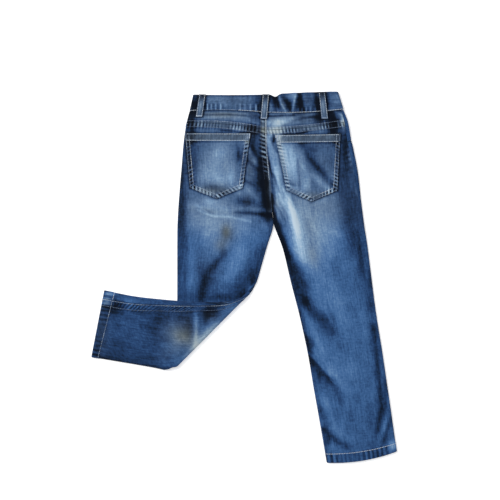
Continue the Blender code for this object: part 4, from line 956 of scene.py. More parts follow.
def makeFront(side):
    first = tableStations(sideRows[side], 0.0, 2.0, 2.4, 0.0)
    rest = legStations(side, 2.0, frontPanel["step"], frontPanel["flapStep"])
    stations = first + rest[1:]
    grid = gridOf(stations, -1, frontPanel["counts"], frontRow,
                  lambda s: frontRow(s).outSeam - scoopReach(side, s))
    x, y, turned = grid["x"], grid["y"], grid["turn"] > 0
    seed = seeds["front"][side]
    back = np.where(turned, cloth["loft"], backSurface(side, x, y)[0])
    flap, flapTone, rim = flapHeight(grid)
    dents, dentTone = foldSums(frontFolds, x, y)
    front = np.where(turned, -flap, floorHeight(y) + 0.6 * dents)
    flapMarks, flapWarmth = washAndShadingSums(flapWashAndShading, x, y)
    frontMarks, frontWarmth = washAndShadingSums(frontWash, x, y)
    tone = np.where(turned, washBase["flap"] + flapMarks + flapTone,
                    washBase["front"] + frontMarks + dentTone)
    tone += edgeShade(grid) * (1 - rim * turned)
    warmth = np.where(turned, flapWarmth + 0.25 * rim, frontWarmth)
    hem, hemWave, wall, rise = hemForm(grid, seed)
    # painted highlight and shade on the hem's ripple, with wear; the hem is darker
    tone += 0.12 * hemWave - 0.06 * hem
    along = np.where(turned, x, y)
    rolled = grid["roll"] > 0.5
    band, shade, _ = seamBand(grid["fromInner"], along, frontPanel["inseamBand"], 0.5, 5.2, seed, start=-3,
                              slant=0, glow=0.34, base=-0.1)
    rise += band * rolled
    tone += shade * rolled
    # the plain cloth of the underside lies just off the surface, and its seams touch it
    rise = np.where(turned, rise, np.minimum(rise, cloth["undersideDent"]) - cloth["undersideDent"])
    outer, inner = layPanel(grid, back, front, wall, rise)
    places = clothPlaces(outer, grid["inset"], grid["width"], grid["flat"])
    scooped = np.array([scoopReach(side, s) > 0 for s in stations])
    scooped = np.repeat(scooped[:, None], x.shape[1], axis=1)
    faces[f"cloth_front_{side}"] = {"outer": outer, "scooped": scooped, **grid}
    panel = clothShell(f"cloth_front_{side}", outer, inner, tone, warmth, places, crotchShade(grid))
    return panel, makeFacing(side, [s for s in first if scoopReach(side, s)])


# The facing fills the scoop
def makeFacing(side, stations):
    facing = defaultdict(list)
    for station in stations:
        row = frontRow(station)
        start, end = row.outSeam, row.outSeam - scoopReach(side, station) + cloth["seamGap"]
        inset, share, out, up, _ = rolledEdge(start, end, scoop["facingColumns"], -1).T
        plan = rowPlaces(row, inset)
        back = backSurface(side, *plan.T)[0]
        low = floorHeight(plan[:, 1])
        level = np.maximum(back, low + 2 * cloth["wall"] + 0.45) * share + low * (1 - share)
        across = np.array([row.innerX - row.outerX, row.innerY - row.outerY]) / rowWidth(row)
        for key, depth in (("points", scoop["facingStep"]), ("inner", scoop["facingStep"] + cloth["wall"])):
            moved = plan + (depth * out)[:, None] * across
            facing[key].append(np.column_stack([moved, level - depth * up]))
        facing["inset"].append(inset)
    points, inner, inset = (np.array(facing[key]) for key in ("points", "inner", "inset"))
    tone = np.full(inset.shape, scoop["facingTone"])
    places = clothPlaces(points, inset, 2 * scoop["width"], 2 * scoop["width"])
    return clothShell(f"cloth_facing_{side}", points, inner, tone, 0 * tone, places)


# Waistband: a strip round the waist, gathered by elastic at the back
waistband = {
    "top": {"left": (-94.4, 344.5), "centre": (39.8, 344.3), "right": (173.9, 350.0)},
    "topBow": {"left": 1.0, "right": -0.8},
    # small puckers above its lower seam: size, pitch, seed, share down the band where they start, and
    # the x that they run from and to
    "puckers": ((2.4, 8.6, 3.3, 0.45, -76, 30), (2, 8.0, 6.1, 0.6, 46, 140)),
    "notch": (57.5, 7.0, 5.0),
    "step": 0.5,
    "rows": 22,
    "backPoints": 150,
    "frontPoints": 36,
    "rollPoints": 17,
    # each gather: x, width, height; the height also sets its tone, a painted highlight on a ridge and
    # painted shade in a hollow
    "gathers": [
        (59, 4.5, -1.0), (69, 4.5, 2.0), (80, 5.0, -1.0), (92, 5.0, 2.3), (103, 5.0, -0.9),
        (113, 5.5, 1.5), (123, 4.0, 0.9), (133, 4.5, -0.8), (161, 6.0, 0.8),
    ],
    "smallGathers": {"start": -62, "step": 9.5, "count": 9, "width": 2.6, "height": 0.55},
    "gatherTone": 0.13,
}

# Wash marks on the waistband, with painted shade and painted highlight among them
bandWashAndShading = [
    (-98, 330, 9, 22, -0.34), (-50, 334, 34, 9, 0.1, 0, 0.1), (-10, 330, 22, 12, 0.05, 0, 0.1),
    (26, 330, 7, 20, -0.3), (56, 330, 9, 20, -0.16), (73, 328, 5, 12, 0.12, 0, 0.2),
    (107, 328, 20, 20, -0.38), (62, 344, 12, 5, -0.22), (135, 334, 6, 16, -0.3), (164, 330, 12, 10, 0.1),
    (178, 322, 7, 12, -0.2), (-82, 331, 7, 13, -0.18), (155, 331, 11, 13, -0.16), (70, 312, 11, 9, -0.14),
    (140, 312, 6, 15, -0.16), (18, 320, 15, 11, -0.06), (155, 327, 9, 11, -0.2), (138, 310, 7, 11, -0.16),
    (66, 327, 6, 9, -0.18), (118, 329, 11, 7, 0.14), (111, 312, 7, 6, -0.14), (22, 312, 7, 6, -0.12),
    (140, 323, 7, 15, -0.14), (-82, 320, 9, 11, -0.14), (96, 327, 6, 9, -0.1), (-19, 342, 13, 6, -0.14),
    (89, 342, 13, 6, 0.2), (133, 342, 11, 6, 0.12), (155, 342, 6, 6, -0.16), (-89, 327, 13, 11, -0.12),
    (-37, 327, 9, 9, 0.1), (66, 327, 7, 9, -0.12), (81, 342, 7, 6, 0.16), (140, 342, 7, 6, 0.12),
    (-78, 320, 11, 11, -0.1), (140, 342, 7, 7, 0.12), (-82, 323, 9, 11, -0.1), (81, 314, 9, 4, 0.2),
    (-82, 323, 9, 9, -0.08), (140, 344, 7, 7, 0.2), (89, 331, 7, 11, -0.14),
]


def gatherShape(x):
    height, tone = np.zeros_like(x), np.zeros_like(x)
    for place, width, rise in waistband["gathers"]:
        shape = rise * bell(x - place, width)
        height += shape
        tone += waistband["gatherTone"] * shape
    small = waistband["smallGathers"]
    for n in range(small["count"]):
        shape = bell(x - small["start"] - small["step"] * n, small["width"])
        height += small["height"] * shape
    return height, tone


def waistbandTop(x):
    span = waistband["top"]["right"][0] - waistband["top"]["left"][0]
    share = np.clip(1 - abs(x - waistband["top"]["centre"][0]) / (span / 2), 0, 1)
    return cloth["loft"] + cloth["crown"] * share + waist["rise"] + waistband["step"]


# One row of a half of the waistband, from the front centre round the edge to the back centre
def waistRow(side, share):
    seam = sideRows[side][0]
    outer, centre = waistband["top"][side], waistband["top"]["centre"]
    top = seam._replace(outerX=outer[0], outerY=outer[1], innerX=centre[0], innerY=centre[1],
                        bow=waistband["topBow"][side])
    row = Row(*(np.array(top) + (np.array(seam) - np.array(top)) * share))
    width, flatStart = rowWidth(row), rollEnd - quarterRoll + cloth["edgeReach"]
    flatBack = np.linspace(flatStart, width, waistband["backPoints"])[1:]
    flatFront = np.linspace(width - cloth["seamGap"] / 2, flatStart, waistband["frontPoints"])[:-1]
    path = np.linspace(-rollEnd, rollEnd, waistband["rollPoints"])
    inset, level, out, up = edgeProfile(path)
    front = np.column_stack([flatFront, 0 * flatFront, 0 * flatFront, -1 + 0 * flatFront])
    back = np.column_stack([flatBack, 1 + 0 * flatBack, 0 * flatBack, 1 + 0 * flatBack])
    profile = np.vstack([front, np.column_stack([inset, level, -out, up]), back])
    dipped = row._replace(dip=waist["frontDip"])
    onFront = profile[:, 1:2] < 0.5
    return profile, np.where(onFront, rowPlaces(dipped, profile[:, 0]), rowPlaces(row, profile[:, 0]))


def makeWaistband():
    skins = [], [], [], []  # rows of outer points, inner points, tones and warmths
    notchX, notchWidth, notchHeight = waistband["notch"]
    for share in np.linspace(0, 1, waistband["rows"]):
        made = []
        for side in ("left", "right"):
            profile, places = waistRow(side, share)
            onBack = profile[:, 1]
            along = 1 if side == "left" else -1
            x, y = places.T
            notch = notchHeight * bell(x - notchX, notchWidth)
            y -= notch * onBack * (1 - share) ** 2
            y += cloth["seamGap"] / 2 * (share == 1)
            gather, gatherTone = gatherShape(x)
            crease, creaseTone = foldSums(bandCreases, x, y)
            fade = smoothStep(1.3 - share)
            small = 0
            for size, pitch, seed, first, least, most in waistband["puckers"]:
                begun = smoothStep((share - first) / 0.2)
                small += size * pucker(x, pitch, seed, 0.5) * begun * (x > least) * (x < most)
            topStep = 0.35 * bell(share - 0.04, 0.05)
            groove = -0.25 * bell(share - 0.93, 0.03)
            details = (0.35 * small + topStep + groove + crease) * (onBack > 0.9)
            top = waistbandTop(x) + gather * fade + details
            level = top * onBack + waist["lift"] * (1 - onBack)
            washAndShading, warmth = washAndShadingSums(bandWashAndShading, x, y)
            # painted highlight on the small puckers' tops and painted shade in their dips
            puckerShading = 0.38 * np.maximum(small, 0) ** 2.4 + 0.12 * np.minimum(small, 0)
            tone = washBase["band"] + (washAndShading + gatherTone * fade + puckerShading + creaseTone) * (onBack > 0.5)
            tone += besideShade(side, x, y) * (onBack > 0.5)
            tone -= 0.16 * bell(share, 0.12) - 0.06 * bell(share - 0.98, 0.03)
            warmth += seatGrey(tone, y, 0.4)
            faceX, faceZ = profile[:, 2], profile[:, 3]
            depths = (0.0, cloth["bandWall"])
            walls = [np.column_stack([x - along * d * faceX, y, level - d * faceZ]) for d in depths]
            made.append((*walls, tone, warmth))
        for rows, (left, right) in zip(skins, zip(*made)):
            rows.append(np.concatenate([left, right[::-1][1:]]))
    outer, inner, tones, warmths = (np.array(rows) for rows in skins)
    # its cloth runs round the waist, so the weave does too
    down = np.linspace(0, 33, waistband["rows"])
    places = np.stack(np.meshgrid(lengthAlong(outer[len(outer) // 2]), down), axis=-1)[..., ::-1] * mm
    shares = np.repeat(np.linspace(0, 1, waistband["rows"])[:, None], outer.shape[1], axis=1)
    faces["cloth_waistband"] = {"outer": outer, "share": shares}
    return clothShell("cloth_waistband", outer, inner, tones, warmths, places)


def treeOf(*objects):
    points, faces = [], []
    for obj in objects:
        start = len(points)
        points += [v.co.copy() for v in obj.data.vertices]
        faces += [[start + i for i in p.vertices] for p in obj.data.polygons]
    return BVHTree.FromPolygons(points, faces)


# The highest point of the cloth at a place in the tables' plan, from above, or the lowest from below
def castOn(tree, x, y, fromAbove=True):
    start = Vector(((x - layCentre[0]) * mm, (y - layCentre[1]) * mm, 0.1 if fromAbove else -0.1))
    hit, normal, _, _ = tree.ray_cast(start, Vector((0, 0, -1 if fromAbove else 1)))
    return hit, normal


def lineDistance(point, start, end):
    direction = np.array(end) - np.array(start)
    direction = direction / np.linalg.norm(direction)
    offset = point - np.array(start)
    return abs(offset[..., 0] * direction[1] - offset[..., 1] * direction[0]), offset @ direction


# Height of the cloth under a pocket, by the highest point near each place, smoothed outward
def pocketSeat(tree, plan):
    reach = patchPockets["reach"]
    seat = np.zeros(plan.shape[:2])
    for dx, dy in ((0, 0), (-reach, 0), (reach, 0), (0, -reach), (0, reach)):
        for place in np.ndindex(seat.shape):
            hit = castOn(tree, plan[place][0] + dx, plan[place][1] + dy)[0]
            if hit:
                seat[place] = max(seat[place], hit.z / mm)
    for _ in range(4):
        padded = np.pad(seat, 1, mode="edge")
        around = padded[:-2, 1:-1] + padded[2:, 1:-1] + padded[1:-1, :-2] + padded[1:-1, 2:]
        seat = np.maximum(seat, 0.5 * seat + 0.125 * around)
    return seat + patchPockets["gap"]


def makePocket(side, panel):
    topOut, topIn, lowIn, point, lowOut = (np.array(c) for c in patchPockets[side])
    across, down = (np.linspace(0, 1, n) for n in patchPockets["points"])
    a, b = np.meshgrid(across, down)
    a, b = a[..., None], b[..., None]
    low = np.where(a < 0.5, lowOut + (point - lowOut) * 2 * a, point + (lowIn - point) * (2 * a - 1))
    top = topOut + (topIn - topOut) * a
    plan = top + (low - top) * b
    x, y = plan[..., 0], plan[..., 1]
    seat = pocketSeat(treeOf(panel), plan)
    outline = (topOut, lowOut, point, lowIn, topIn)
    sides = [lineDistance(plan, *pair) for pair in zip(outline[:-1], outline[1:])]
    fromSide = np.min([d for d, _ in sides], axis=0)
    along = np.choose(np.argmin([d for d, _ in sides], axis=0), [s for _, s in sides])
    fromTop = lineDistance(plan, topOut, topIn)[0]
    seed = seeds["pocket"][side]
    band, hem = patchPockets["band"], patchPockets["hem"]
    inBand = smoothStep((band - fromSide) / 1.2 + 0.5) * smoothStep((fromTop - 2) / 4)
    inHem = smoothStep((hem - fromTop) / 1.0 + 0.5)
    wave = pucker(along + 0.4 * fromSide, 6.8, seed)
    reachIn = inBand + 0.45 * bell(fromSide - band, 4) * (fromSide > band)
    atPoint = smoothStep((182 - y) / 12)  # the lower edges rub most
    ripple = wave * reachIn
    # painted highlight on the ripples' tops and painted shade in their dips, with wear; the band is darker
    # and the pocket's very edge has painted shade
    glow = (0.42 + 0.24 * atPoint) * np.maximum(ripple, 0) + (0.3 + 0.14 * atPoint) * np.minimum(ripple, 0)
    glow += (0.02 * atPoint - 0.12) * inBand - 0.24 * bell(fromSide, 1.3)
    groove = bell(fromSide - band, 0.9) + 0.7 * bell(fromSide - 1.7, 0.7)
    hemGroove = bell(fromTop - hem + 0.8, 0.8)
    rise = 0.25 * inBand + 0.24 * ripple - 0.2 * groove * (1 - inHem) - 0.2 * hemGroove
    rise += patchPockets["hemRise"] * inHem + 0.15 * (1 - inBand) * (1 - inHem)
    foldTone = foldSums(backFolds, x, y)[1]
    creases, creaseTone = foldSums(pocketCreases, x, y)
    rise += creases * (1 - inBand) * (1 - inHem)
    washAndShading, warmth = washAndShadingSums(pocketWashAndShading, x, y)
    # painted shade in the grooves, and painted shadow just below the hem's edge
    tone = 0.38 + washAndShading + 0.9 * foldTone + creaseTone + glow - 0.06 * groove
    tone -= 0.3 * bell(fromTop - hem - 1.9, 1.8)
    mottled = 0.07 * pucker(x, 6.0, seed) + 0.06 * pucker(x + fromTop, 17.0, seed + 1)
    tone = tone * (1 - inHem) + inHem * (0.38 + 0.25 * washAndShading + mottled)
    tone += 0.24 * bell(fromTop - hem + 0.6, 0.9) * (1 - inBand)
    warmth += seatGrey(tone, y) + 0.2 * inBand
    warmth = warmth * (1 - inHem) + 0.85 * inHem
    inner = np.dstack([plan, seat])
    outer = np.dstack([plan, seat + cloth["pocketWall"] + rise])
    start = np.linalg.norm(plan[0, 0] - plan[0, -1])
    places = np.stack([a[..., 0] * start, 200 - fromTop], axis=-1) * mm
    return clothShell(f"cloth_pocket_{side}", outer, inner, tone, warmth, places)


# Places of a loop's grid: the share down it, across it, x, y, from its edge and its two grooves
def loopPlaces(ends, rows, columns):
    topX, topY, lowX, lowY = ends
    t, across = np.meshgrid(np.linspace(0, 1, rows),
                            np.linspace(-0.5, 0.5, columns) * beltLoops["width"], indexing="ij")
    x, y = topX + (lowX - topX) * t + across, topY + (lowY - topY) * t
    fromEdge = beltLoops["width"] / 2 - abs(across)
    return t, across, x, y, fromEdge, bell(fromEdge - beltLoops["edge"], 0.7)


def loopShell(name, outer, inner, tone, warmth, t, across):
    places = np.stack([across, (1 - t) * 45], axis=-1) * mm
    obj = clothShell(f"cloth_loop_{name}", outer, inner, tone, warmth + 0 * tone, places)
    return rideAndReplace(obj, f"belt_loop_{name}")


def makeBackLoop(name, ends):
    t, across, x, y, fromEdge, groove = loopPlaces(ends, beltLoops["rows"], beltLoops["columns"])
    yokeTop = cloth["loft"] + cloth["crown"] + waist["rise"] + cloth["lapRise"]
    bandTop = waistbandTop(ends[0]) + beltLoops["clear"]
    share = beltLoops["bandShare"]
    onBand = smoothStep((share - t) / (1.5 * (1 - share)))
    arch = beltLoops["arch"] * np.sin(math.pi * np.minimum(t / share, 1)) ** 0.5
    z = yokeTop + cloth["seamGap"] + (bandTop - yokeTop) * onBand + arch
    ripple = pucker(t * 44 + 3 * np.sign(across), 5.2, ends[0] / 31) * bell(fromEdge, 3)
    tack = smoothStep((t - 0.93) / 0.03)
    dome = beltLoops["dome"] * (1 - (2 * across / beltLoops["width"]) ** 2)
    outer = np.dstack([x, y, z + beltLoops["wall"] + dome - 0.18 * groove + 0.14 * ripple - 0.3 * tack])
    # painted highlight on the pucker tops, painted shade along its edges and in its grooves; lighter down
    # its middle, darker at its top end
    tone = 0.38 + 0.3 * np.maximum(ripple, 0) - 0.2 * bell(fromEdge, 1.2) - 0.1 * groove
    tone += 0.30 * bell(t - 0.5, 0.30) * bell(across, 3.2) - 0.42 * bell(t, 0.26)
    return loopShell(name, outer, np.dstack([x, y, z]), tone, 0.7, t, across)


def makeFrontLoop(name, ends):
    t, across, x, y, _, groove = loopPlaces(ends, 20, 9)
    inner = np.dstack([x, y, waist["lift"] - cloth["seamGap"] + 0 * x])
    # painted shade in its stitch grooves
    return loopShell(name, np.dstack([x, y, 0.15 * groove]), inner, 0.40 - 0.1 * groove, 0.4, t, across)


# Materials. Each fabric reads its own cloth map, so the weave follows the cloth round folds and edges.
denimValues = {
    "ramp": [(-0.2, (6, 14, 28)), (0, (13, 27, 46)), (0.25, (35, 63, 105)), (0.5, (60, 98, 147)),
             (0.66, (80, 118, 166)), (0.82, (108, 142, 180)), (1, (146, 178, 208)),
             (1.25, (188, 207, 222))],
    "warmRamp": [(-0.2, (14, 17, 20)), (0.0, (33, 38, 42)), (0.5, (87, 97, 101)), (1.0, (153, 163, 163))],
    "twillPitch": 0.0009,
    "streaks": [((380, 16), 0.10), ((900, 40), 0.16)],  # waves a metre across and along, and strength
    "slubs": [((50, 800), 0.09)],
    "mottle": [((55, 45), 0.10), ((230, 210), 0.14)],
    "sheen": 0.03,
    "bump": 0.00022,
}


def linearColour(colour):
    parts = [c / 255 for c in colour]
    return tuple(c / 12.92 if c <= 0.04045 else ((c + 0.055) / 1.055) ** 2.4 for c in parts) + (1.0,)


def mathNode(tree, operation, first, second=None, clamp=False):
    node = tree.nodes.new("ShaderNodeMath")
    node.operation = operation
    node.use_clamp = clamp
    for socket, value in zip(node.inputs, (first, second)):
        if value is None:
            continue
        if isinstance(value, (int, float)):
            socket.default_value = value
        else:
            tree.links.new(value, socket)
    return node.outputs[0]


def plus(tree, first, second, clamp=False):
    return mathNode(tree, "ADD", first, second, clamp)


def times(tree, first, second, clamp=False):
    return mathNode(tree, "MULTIPLY", first, second, clamp)


def noiseNode(tree, place, scale, detail=2.0):
    scaled = tree.nodes.new("ShaderNodeVectorMath")
    scaled.operation = "MULTIPLY"
    tree.links.new(place, scaled.inputs[0])
    scaled.inputs[1].default_value = (scale[0], scale[1], 1.0)
    noise = tree.nodes.new("ShaderNodeTexNoise")
    noise.noise_dimensions = "2D"
    noise.inputs["Scale"].default_value = 1.0
    noise.inputs["Detail"].default_value = detail
    tree.links.new(scaled.outputs[0], noise.inputs["Vector"])
    return mathNode(tree, "SUBTRACT", noise.outputs["Fac"], 0.5)


def objectNoise(tree, scale, detail=2.0):
    coordinates = tree.nodes.new("ShaderNodeTexCoord")
    noise = tree.nodes.new("ShaderNodeTexNoise")
    noise.inputs["Scale"].default_value = scale
    noise.inputs["Detail"].default_value = detail
    tree.links.new(coordinates.outputs["Object"], noise.inputs["Vector"])
    return noise.outputs["Fac"]


def rampNode(tree, stops, value):
    ramp = tree.nodes.new("ShaderNodeValToRGB")
    elements = ramp.color_ramp.elements
    while len(elements) < len(stops):
        elements.new(0.5)
    for element, (place, colour) in zip(elements, stops):
        element.position = place
        element.color = colour
    tree.links.new(value, ramp.inputs["Fac"])
    return ramp.outputs["Color"]


def toneRamp(tree, stops, tone):
    shifted = mathNode(tree, "DIVIDE", plus(tree, tone, 0.2), 1.5, clamp=True)
    return rampNode(tree, [((place + 0.2) / 1.5, linearColour(colour)) for place, colour in stops], shifted)


def splitNode(tree, vector):
    split = tree.nodes.new("ShaderNodeSeparateXYZ")
    tree.links.new(vector, split.inputs[0])
    return split.outputs["X"], split.outputs["Y"]


def mapNode(tree, name):
    place = tree.nodes.new("ShaderNodeUVMap")
    place.uv_map = name
    return place.outputs["UV"]


def startMaterial(name, values):
    material = bpy.data.materials.new(name)
    material.use_nodes = True
    shader = material.node_tree.nodes["Principled BSDF"]
    for label, value in values.items():
        shader.inputs[label].default_value = value
    return material, material.node_tree, shader


def addRelief(tree, shader, height, distance):
    relief = tree.nodes.new("ShaderNodeBump")
    relief.inputs["Distance"].default_value = distance
    tree.links.new(height, relief.inputs["Height"])
    tree.links.new(relief.outputs["Normal"], shader.inputs["Normal"])


def makeDenimGroup():
    group = bpy.data.node_groups.new("washedDenim", "ShaderNodeTree")
    sockets = (("Place", "INPUT", "Vector"), ("Tone", "INPUT", "Float"), ("Warmth", "INPUT", "Float"),
               ("Grain", "INPUT", "Float"), ("Color", "OUTPUT", "Color"), ("Roughness", "OUTPUT", "Float"),
               ("Height", "OUTPUT", "Float"))
    for label, way, kind in sockets:
        group.interface.new_socket(label, in_out=way, socket_type=f"NodeSocket{kind}")
    inside = group.nodes.new("NodeGroupInput")
    outside = group.nodes.new("NodeGroupOutput")
    place = inside.outputs["Place"]
    x, y = splitNode(group, place)
    # the twill's lines lean across the weave
    lean = plus(group, x, times(group, y, 0.6))
    twill = mathNode(group, "SINE", times(group, lean, 2 * math.pi / denimValues["twillPitch"]))
    rough = times(group, noiseNode(group, place, (1300, 1300), 3.0), 0.9)
    marks = times(group, twill, 0.035)
    for label in ("streaks", "slubs", "mottle"):
        for scale, strength in denimValues[label]:
            marks = plus(group, marks, times(group, noiseNode(group, place, scale), 2 * strength))
    marks = plus(group, marks, times(group, rough, 0.30))
    tone = plus(group, inside.outputs["Tone"], times(group, marks, inside.outputs["Grain"]))
    mix = group.nodes.new("ShaderNodeMix")
    mix.data_type = "RGBA"
    links = [(times(group, inside.outputs["Warmth"], 0.75, clamp=True), mix.inputs[0]),
             (toneRamp(group, denimValues["ramp"], tone), mix.inputs[6]),
             (toneRamp(group, denimValues["warmRamp"], tone), mix.inputs[7]),
             (mix.outputs[2], outside.inputs["Color"]),
             (plus(group, 0.86, times(group, rough, 0.2)), outside.inputs["Roughness"]),
             (plus(group, times(group, twill, 0.4), rough), outside.inputs["Height"])]
    for start, end in links:
        group.links.new(start, end)
    return group


washedDenim = makeDenimGroup()


def attributeOf(tree, name):
    node = tree.nodes.new("ShaderNodeAttribute")
    node.attribute_name = name
    return node.outputs["Fac"]


def makeFabric(name, grain=1.0):
    material, tree, shader = startMaterial(name, {
        "Sheen Weight": denimValues["sheen"], "Sheen Roughness": 0.5, "Specular IOR Level": 0.06})
    weave = tree.nodes.new("ShaderNodeGroup")
    weave.node_tree = washedDenim
    weave.inputs["Grain"].default_value = grain
    tree.links.new(mapNode(tree, "cloth"), weave.inputs["Place"])
    tree.links.new(attributeOf(tree, "tone"), weave.inputs["Tone"])
    tree.links.new(attributeOf(tree, "warmth"), weave.inputs["Warmth"])
    addRelief(tree, shader, weave.outputs["Height"], denimValues["bump"])
    tree.links.new(weave.outputs["Color"], shader.inputs["Base Color"])
    tree.links.new(weave.outputs["Roughness"], shader.inputs["Roughness"])
    return material


denim = makeFabric("denim")
denimInside = makeFabric("denimInside", grain=0.7)
print("materials ready")

# The panels
yokeStep = 1.2
pieces = {}
for side, rows in sideRows.items():
    half = cloth["seamGap"] / 2
    yokeStations = tableStations(rows, shifted(rows, 0.0, half), shifted(rows, 1.0, -half), yokeStep, 0.0)
    pieces[f"yoke_{side}"] = makeBackPiece(f"cloth_yoke_{side}", side, yokeStations, True)
    start, below = shifted(rows, 1.0, half), shifted(rows, 1.0, 16.0)
    seat = tableStations(rows, start, below, backPanel["seamStep"], 0.0)
    seat += tableStations(rows, below, backPanel["seatEnd"], backPanel["seatStep"], 0.0)[1:]
    legRows = seat + legStations(side, backPanel["seatEnd"], backPanel["step"], backPanel["hiddenStep"])[1:]
    pieces[f"back_{side}"] = makeBackPiece(f"cloth_back_{side}", side, legRows, False)
    pieces[f"front_{side}"], pieces[f"pocket_facing_{side}"] = makeFront(side)
    pieces[f"back_pocket_{side}"] = makePocket(side, pieces[f"back_{side}"])
pieces["waistband"] = makeWaistband()
for node, piece in pieces.items():
    rideAndReplace(piece, node)
print("panels, pockets and waistband made")

for way, makeLoop in (("back", makeBackLoop), ("front", makeFrontLoop)):
    for name, ends in beltLoops[way].items():
        pieces[f"belt_loop_{name}"] = makeLoop(name, ends)
print("belt loops made")

# Stitches: joined meshes of short threads that dip into the cloth at both ends
thread = {
    "length": 2.5,
    "gap": 0.6,
    "radius": 0.46,
    "sides": 6,
    "steps": (0.0, 0.2, 0.5, 0.8, 1.0),
    "tackStep": 0.75,
    "heights": (-0.30, 0.10, 0.24, 0.10, -0.30),
    "radii": (0.6, 1.0, 1.0, 1.0, 0.6),
    "ramp": [(0, (40, 50, 72)), (0.3, (82, 98, 126)), (0.6, (126, 146, 176)), (0.85, (180, 198, 220)),
             (1, (216, 227, 238))],
    "pale": 1.1,
    "grey": 0.8,
    "dull": 0.5,
    "brown": 0.05,
}


def makeThreadMaterial():
    material, tree, shader = startMaterial("topstitchThread", {
        "Roughness": 0.62, "Specular IOR Level": 0.25})
    both = plus(tree, objectNoise(tree, 160.0), times(tree, objectNoise(tree, 34.0), 1.6))
    worn = times(tree, mathNode(tree, "SUBTRACT", both, 1.3), 0.8)
    dye = plus(tree, attributeOf(tree, "dye"), worn, clamp=True)
    stops = [(place, linearColour(colour)) for place, colour in thread["ramp"]]
    tree.links.new(rampNode(tree, stops, dye), shader.inputs["Base Color"])
    x, y = splitNode(tree, mapNode(tree, "thread"))
    turns = plus(tree, x, times(tree, y, 3.0))
    addRelief(tree, shader, mathNode(tree, "SINE", times(tree, turns, 4 * math.pi)), 0.0001)
    return material


threadMaterial = makeThreadMaterial()


# The line on a panel where one of its distances has a value: across its rows, or down its columns
def contour(face, field, value, down=False, keep=None):
    points, distances = faces[face]["outer"], faces[face][field]
    use = np.ones(distances.shape, bool) if keep is None else keep(faces[face])
    if down:
        points, distances, use = points.transpose(1, 0, 2), distances.T, use.T
    line = []
    for row, numbers, kept in zip(points, distances, use):
        found = np.nonzero((numbers[:-1] - value) * (numbers[1:] - value) <= 0)[0]
        if len(found) == 0 or not kept[found[0]]:
            continue
        n = found[0]
        share = (value - numbers[n]) / (numbers[n + 1] - numbers[n] or 1)
        line.append(row[n] + (row[n + 1] - row[n]) * share)
    return np.array(line)


# Points every millimetre along corners in the plan, laid on a surface
def layLine(tree, corners, fromAbove=True):
    corners = np.array(corners, float)
    along = lengthAlong(corners)
    count = max(2, int(along[-1]) + 1)
    places = np.linspace(0, along[-1], count)
    line = []
    for x, y in zip(np.interp(places, along, corners[:, 0]), np.interp(places, along, corners[:, 1])):
        hit = castOn(tree, x, y, fromAbove)[0]
        if hit:
            line.append((x, y, hit.z / mm))
    return np.array(line)


def stitchPoints(line, length, gap):
    along = lengthAlong(line)
    count = int(along[-1] / (length + gap))
    starts = np.arange(count) * (length + gap) + 0.5 * (along[-1] - count * (length + gap)) + gap / 2
    places = starts[:, None] + np.array(thread["steps"]) * length
    return np.stack([np.interp(places, along, line[:, k]) for k in range(3)], axis=-1)


# Threads of one piece from lines of points, each with how pale its thread is
def sewLines(name, tree, lines, length=thread["length"], gap=thread["gap"], radius=thread["radius"]):
    stitches, dyes = [], []
    for line, dye in lines:
        if len(line) < 2:
            continue
        found = stitchPoints(line, length, gap)
        stitches.append(found)
        dyes.append(np.full(len(found), dye))
    stitches, dyes = np.concatenate(stitches), np.concatenate(dyes)
    normals = np.zeros_like(stitches)
    for n, stitch in enumerate(stitches):
        for k, point in enumerate(stitch):
            place = Vector((point - np.array([*layCentre, 0])) * mm)
            near, normal, _, _ = tree.find_nearest(place)
            stitches[n, k] = np.array(near) / mm + np.array([*layCentre, 0])
            normals[n, k] = normal
    return threadMesh(name, stitches, normals, dyes, radius)


def threadMesh(name, stitches, normals, dyes, radius):
    sides, rings = thread["sides"], len(thread["steps"])
    tangents = stitches[:, -1] - stitches[:, 0]
    tangents /= np.linalg.norm(tangents, axis=1)[:, None]
    across = np.cross(tangents[:, None, :], normals)
    across /= np.linalg.norm(across, axis=2)[:, :, None]
    centres = stitches + normals * (np.array(thread["heights"]) * radius / thread["radius"])[None, :, None]
    angle = np.linspace(0, 2 * math.pi, sides, endpoint=False)
    size = radius * np.array(thread["radii"])[None, :, None, None]
    aside, up = np.cos(angle)[:, None], np.sin(angle)[:, None]
    around = across[:, :, None, :] * aside + normals[:, :, None, :] * up
    points = (centres[:, :, None, :] + size * around).reshape(-1, 3) - np.array([*layCentre, 0])
    ring, side = np.meshgrid(np.arange(rings - 1), np.arange(sides), indexing="ij")
    after = (side + 1) % sides
    quads = np.stack([ring * sides + side, ring * sides + after, (ring + 1) * sides + after,
                      (ring + 1) * sides + side], axis=-1).reshape(-1, 4)
    count = len(stitches)
    starts = np.arange(count) * rings * sides
    sideFaces = (quads[None] + starts[:, None, None]).reshape(-1, 4)
    cap = np.arange(sides)
    firstCaps = cap[::-1][None] + starts[:, None]
    lastCaps = cap[None] + starts[:, None] + (rings - 1) * sides
    mesh = bpy.data.meshes.new(name)
    allFaces = sideFaces.tolist() + firstCaps.tolist() + lastCaps.tolist()
    mesh.from_pydata((points * mm).tolist(), [], allFaces)
    mesh.shade_smooth()
    mesh.materials.append(threadMaterial)
    setValues(mesh, "dye", np.repeat(dyes, rings * sides))
    point = np.arange(len(points))
    setMap(mesh, "thread", np.column_stack([point % sides / sides, point // sides % rings / rings]))
    flipIfInsideOut(mesh)
    obj = addObject(name, mesh)
    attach(obj, "root")
    return obj


def flipIfInsideOut(mesh):
    shape = bmesh.new()
    shape.from_mesh(mesh)
    if shape.calc_volume(signed=True) < 0:
        bmesh.ops.reverse_faces(shape, faces=shape.faces)
        shape.to_mesh(mesh)
    shape.free()


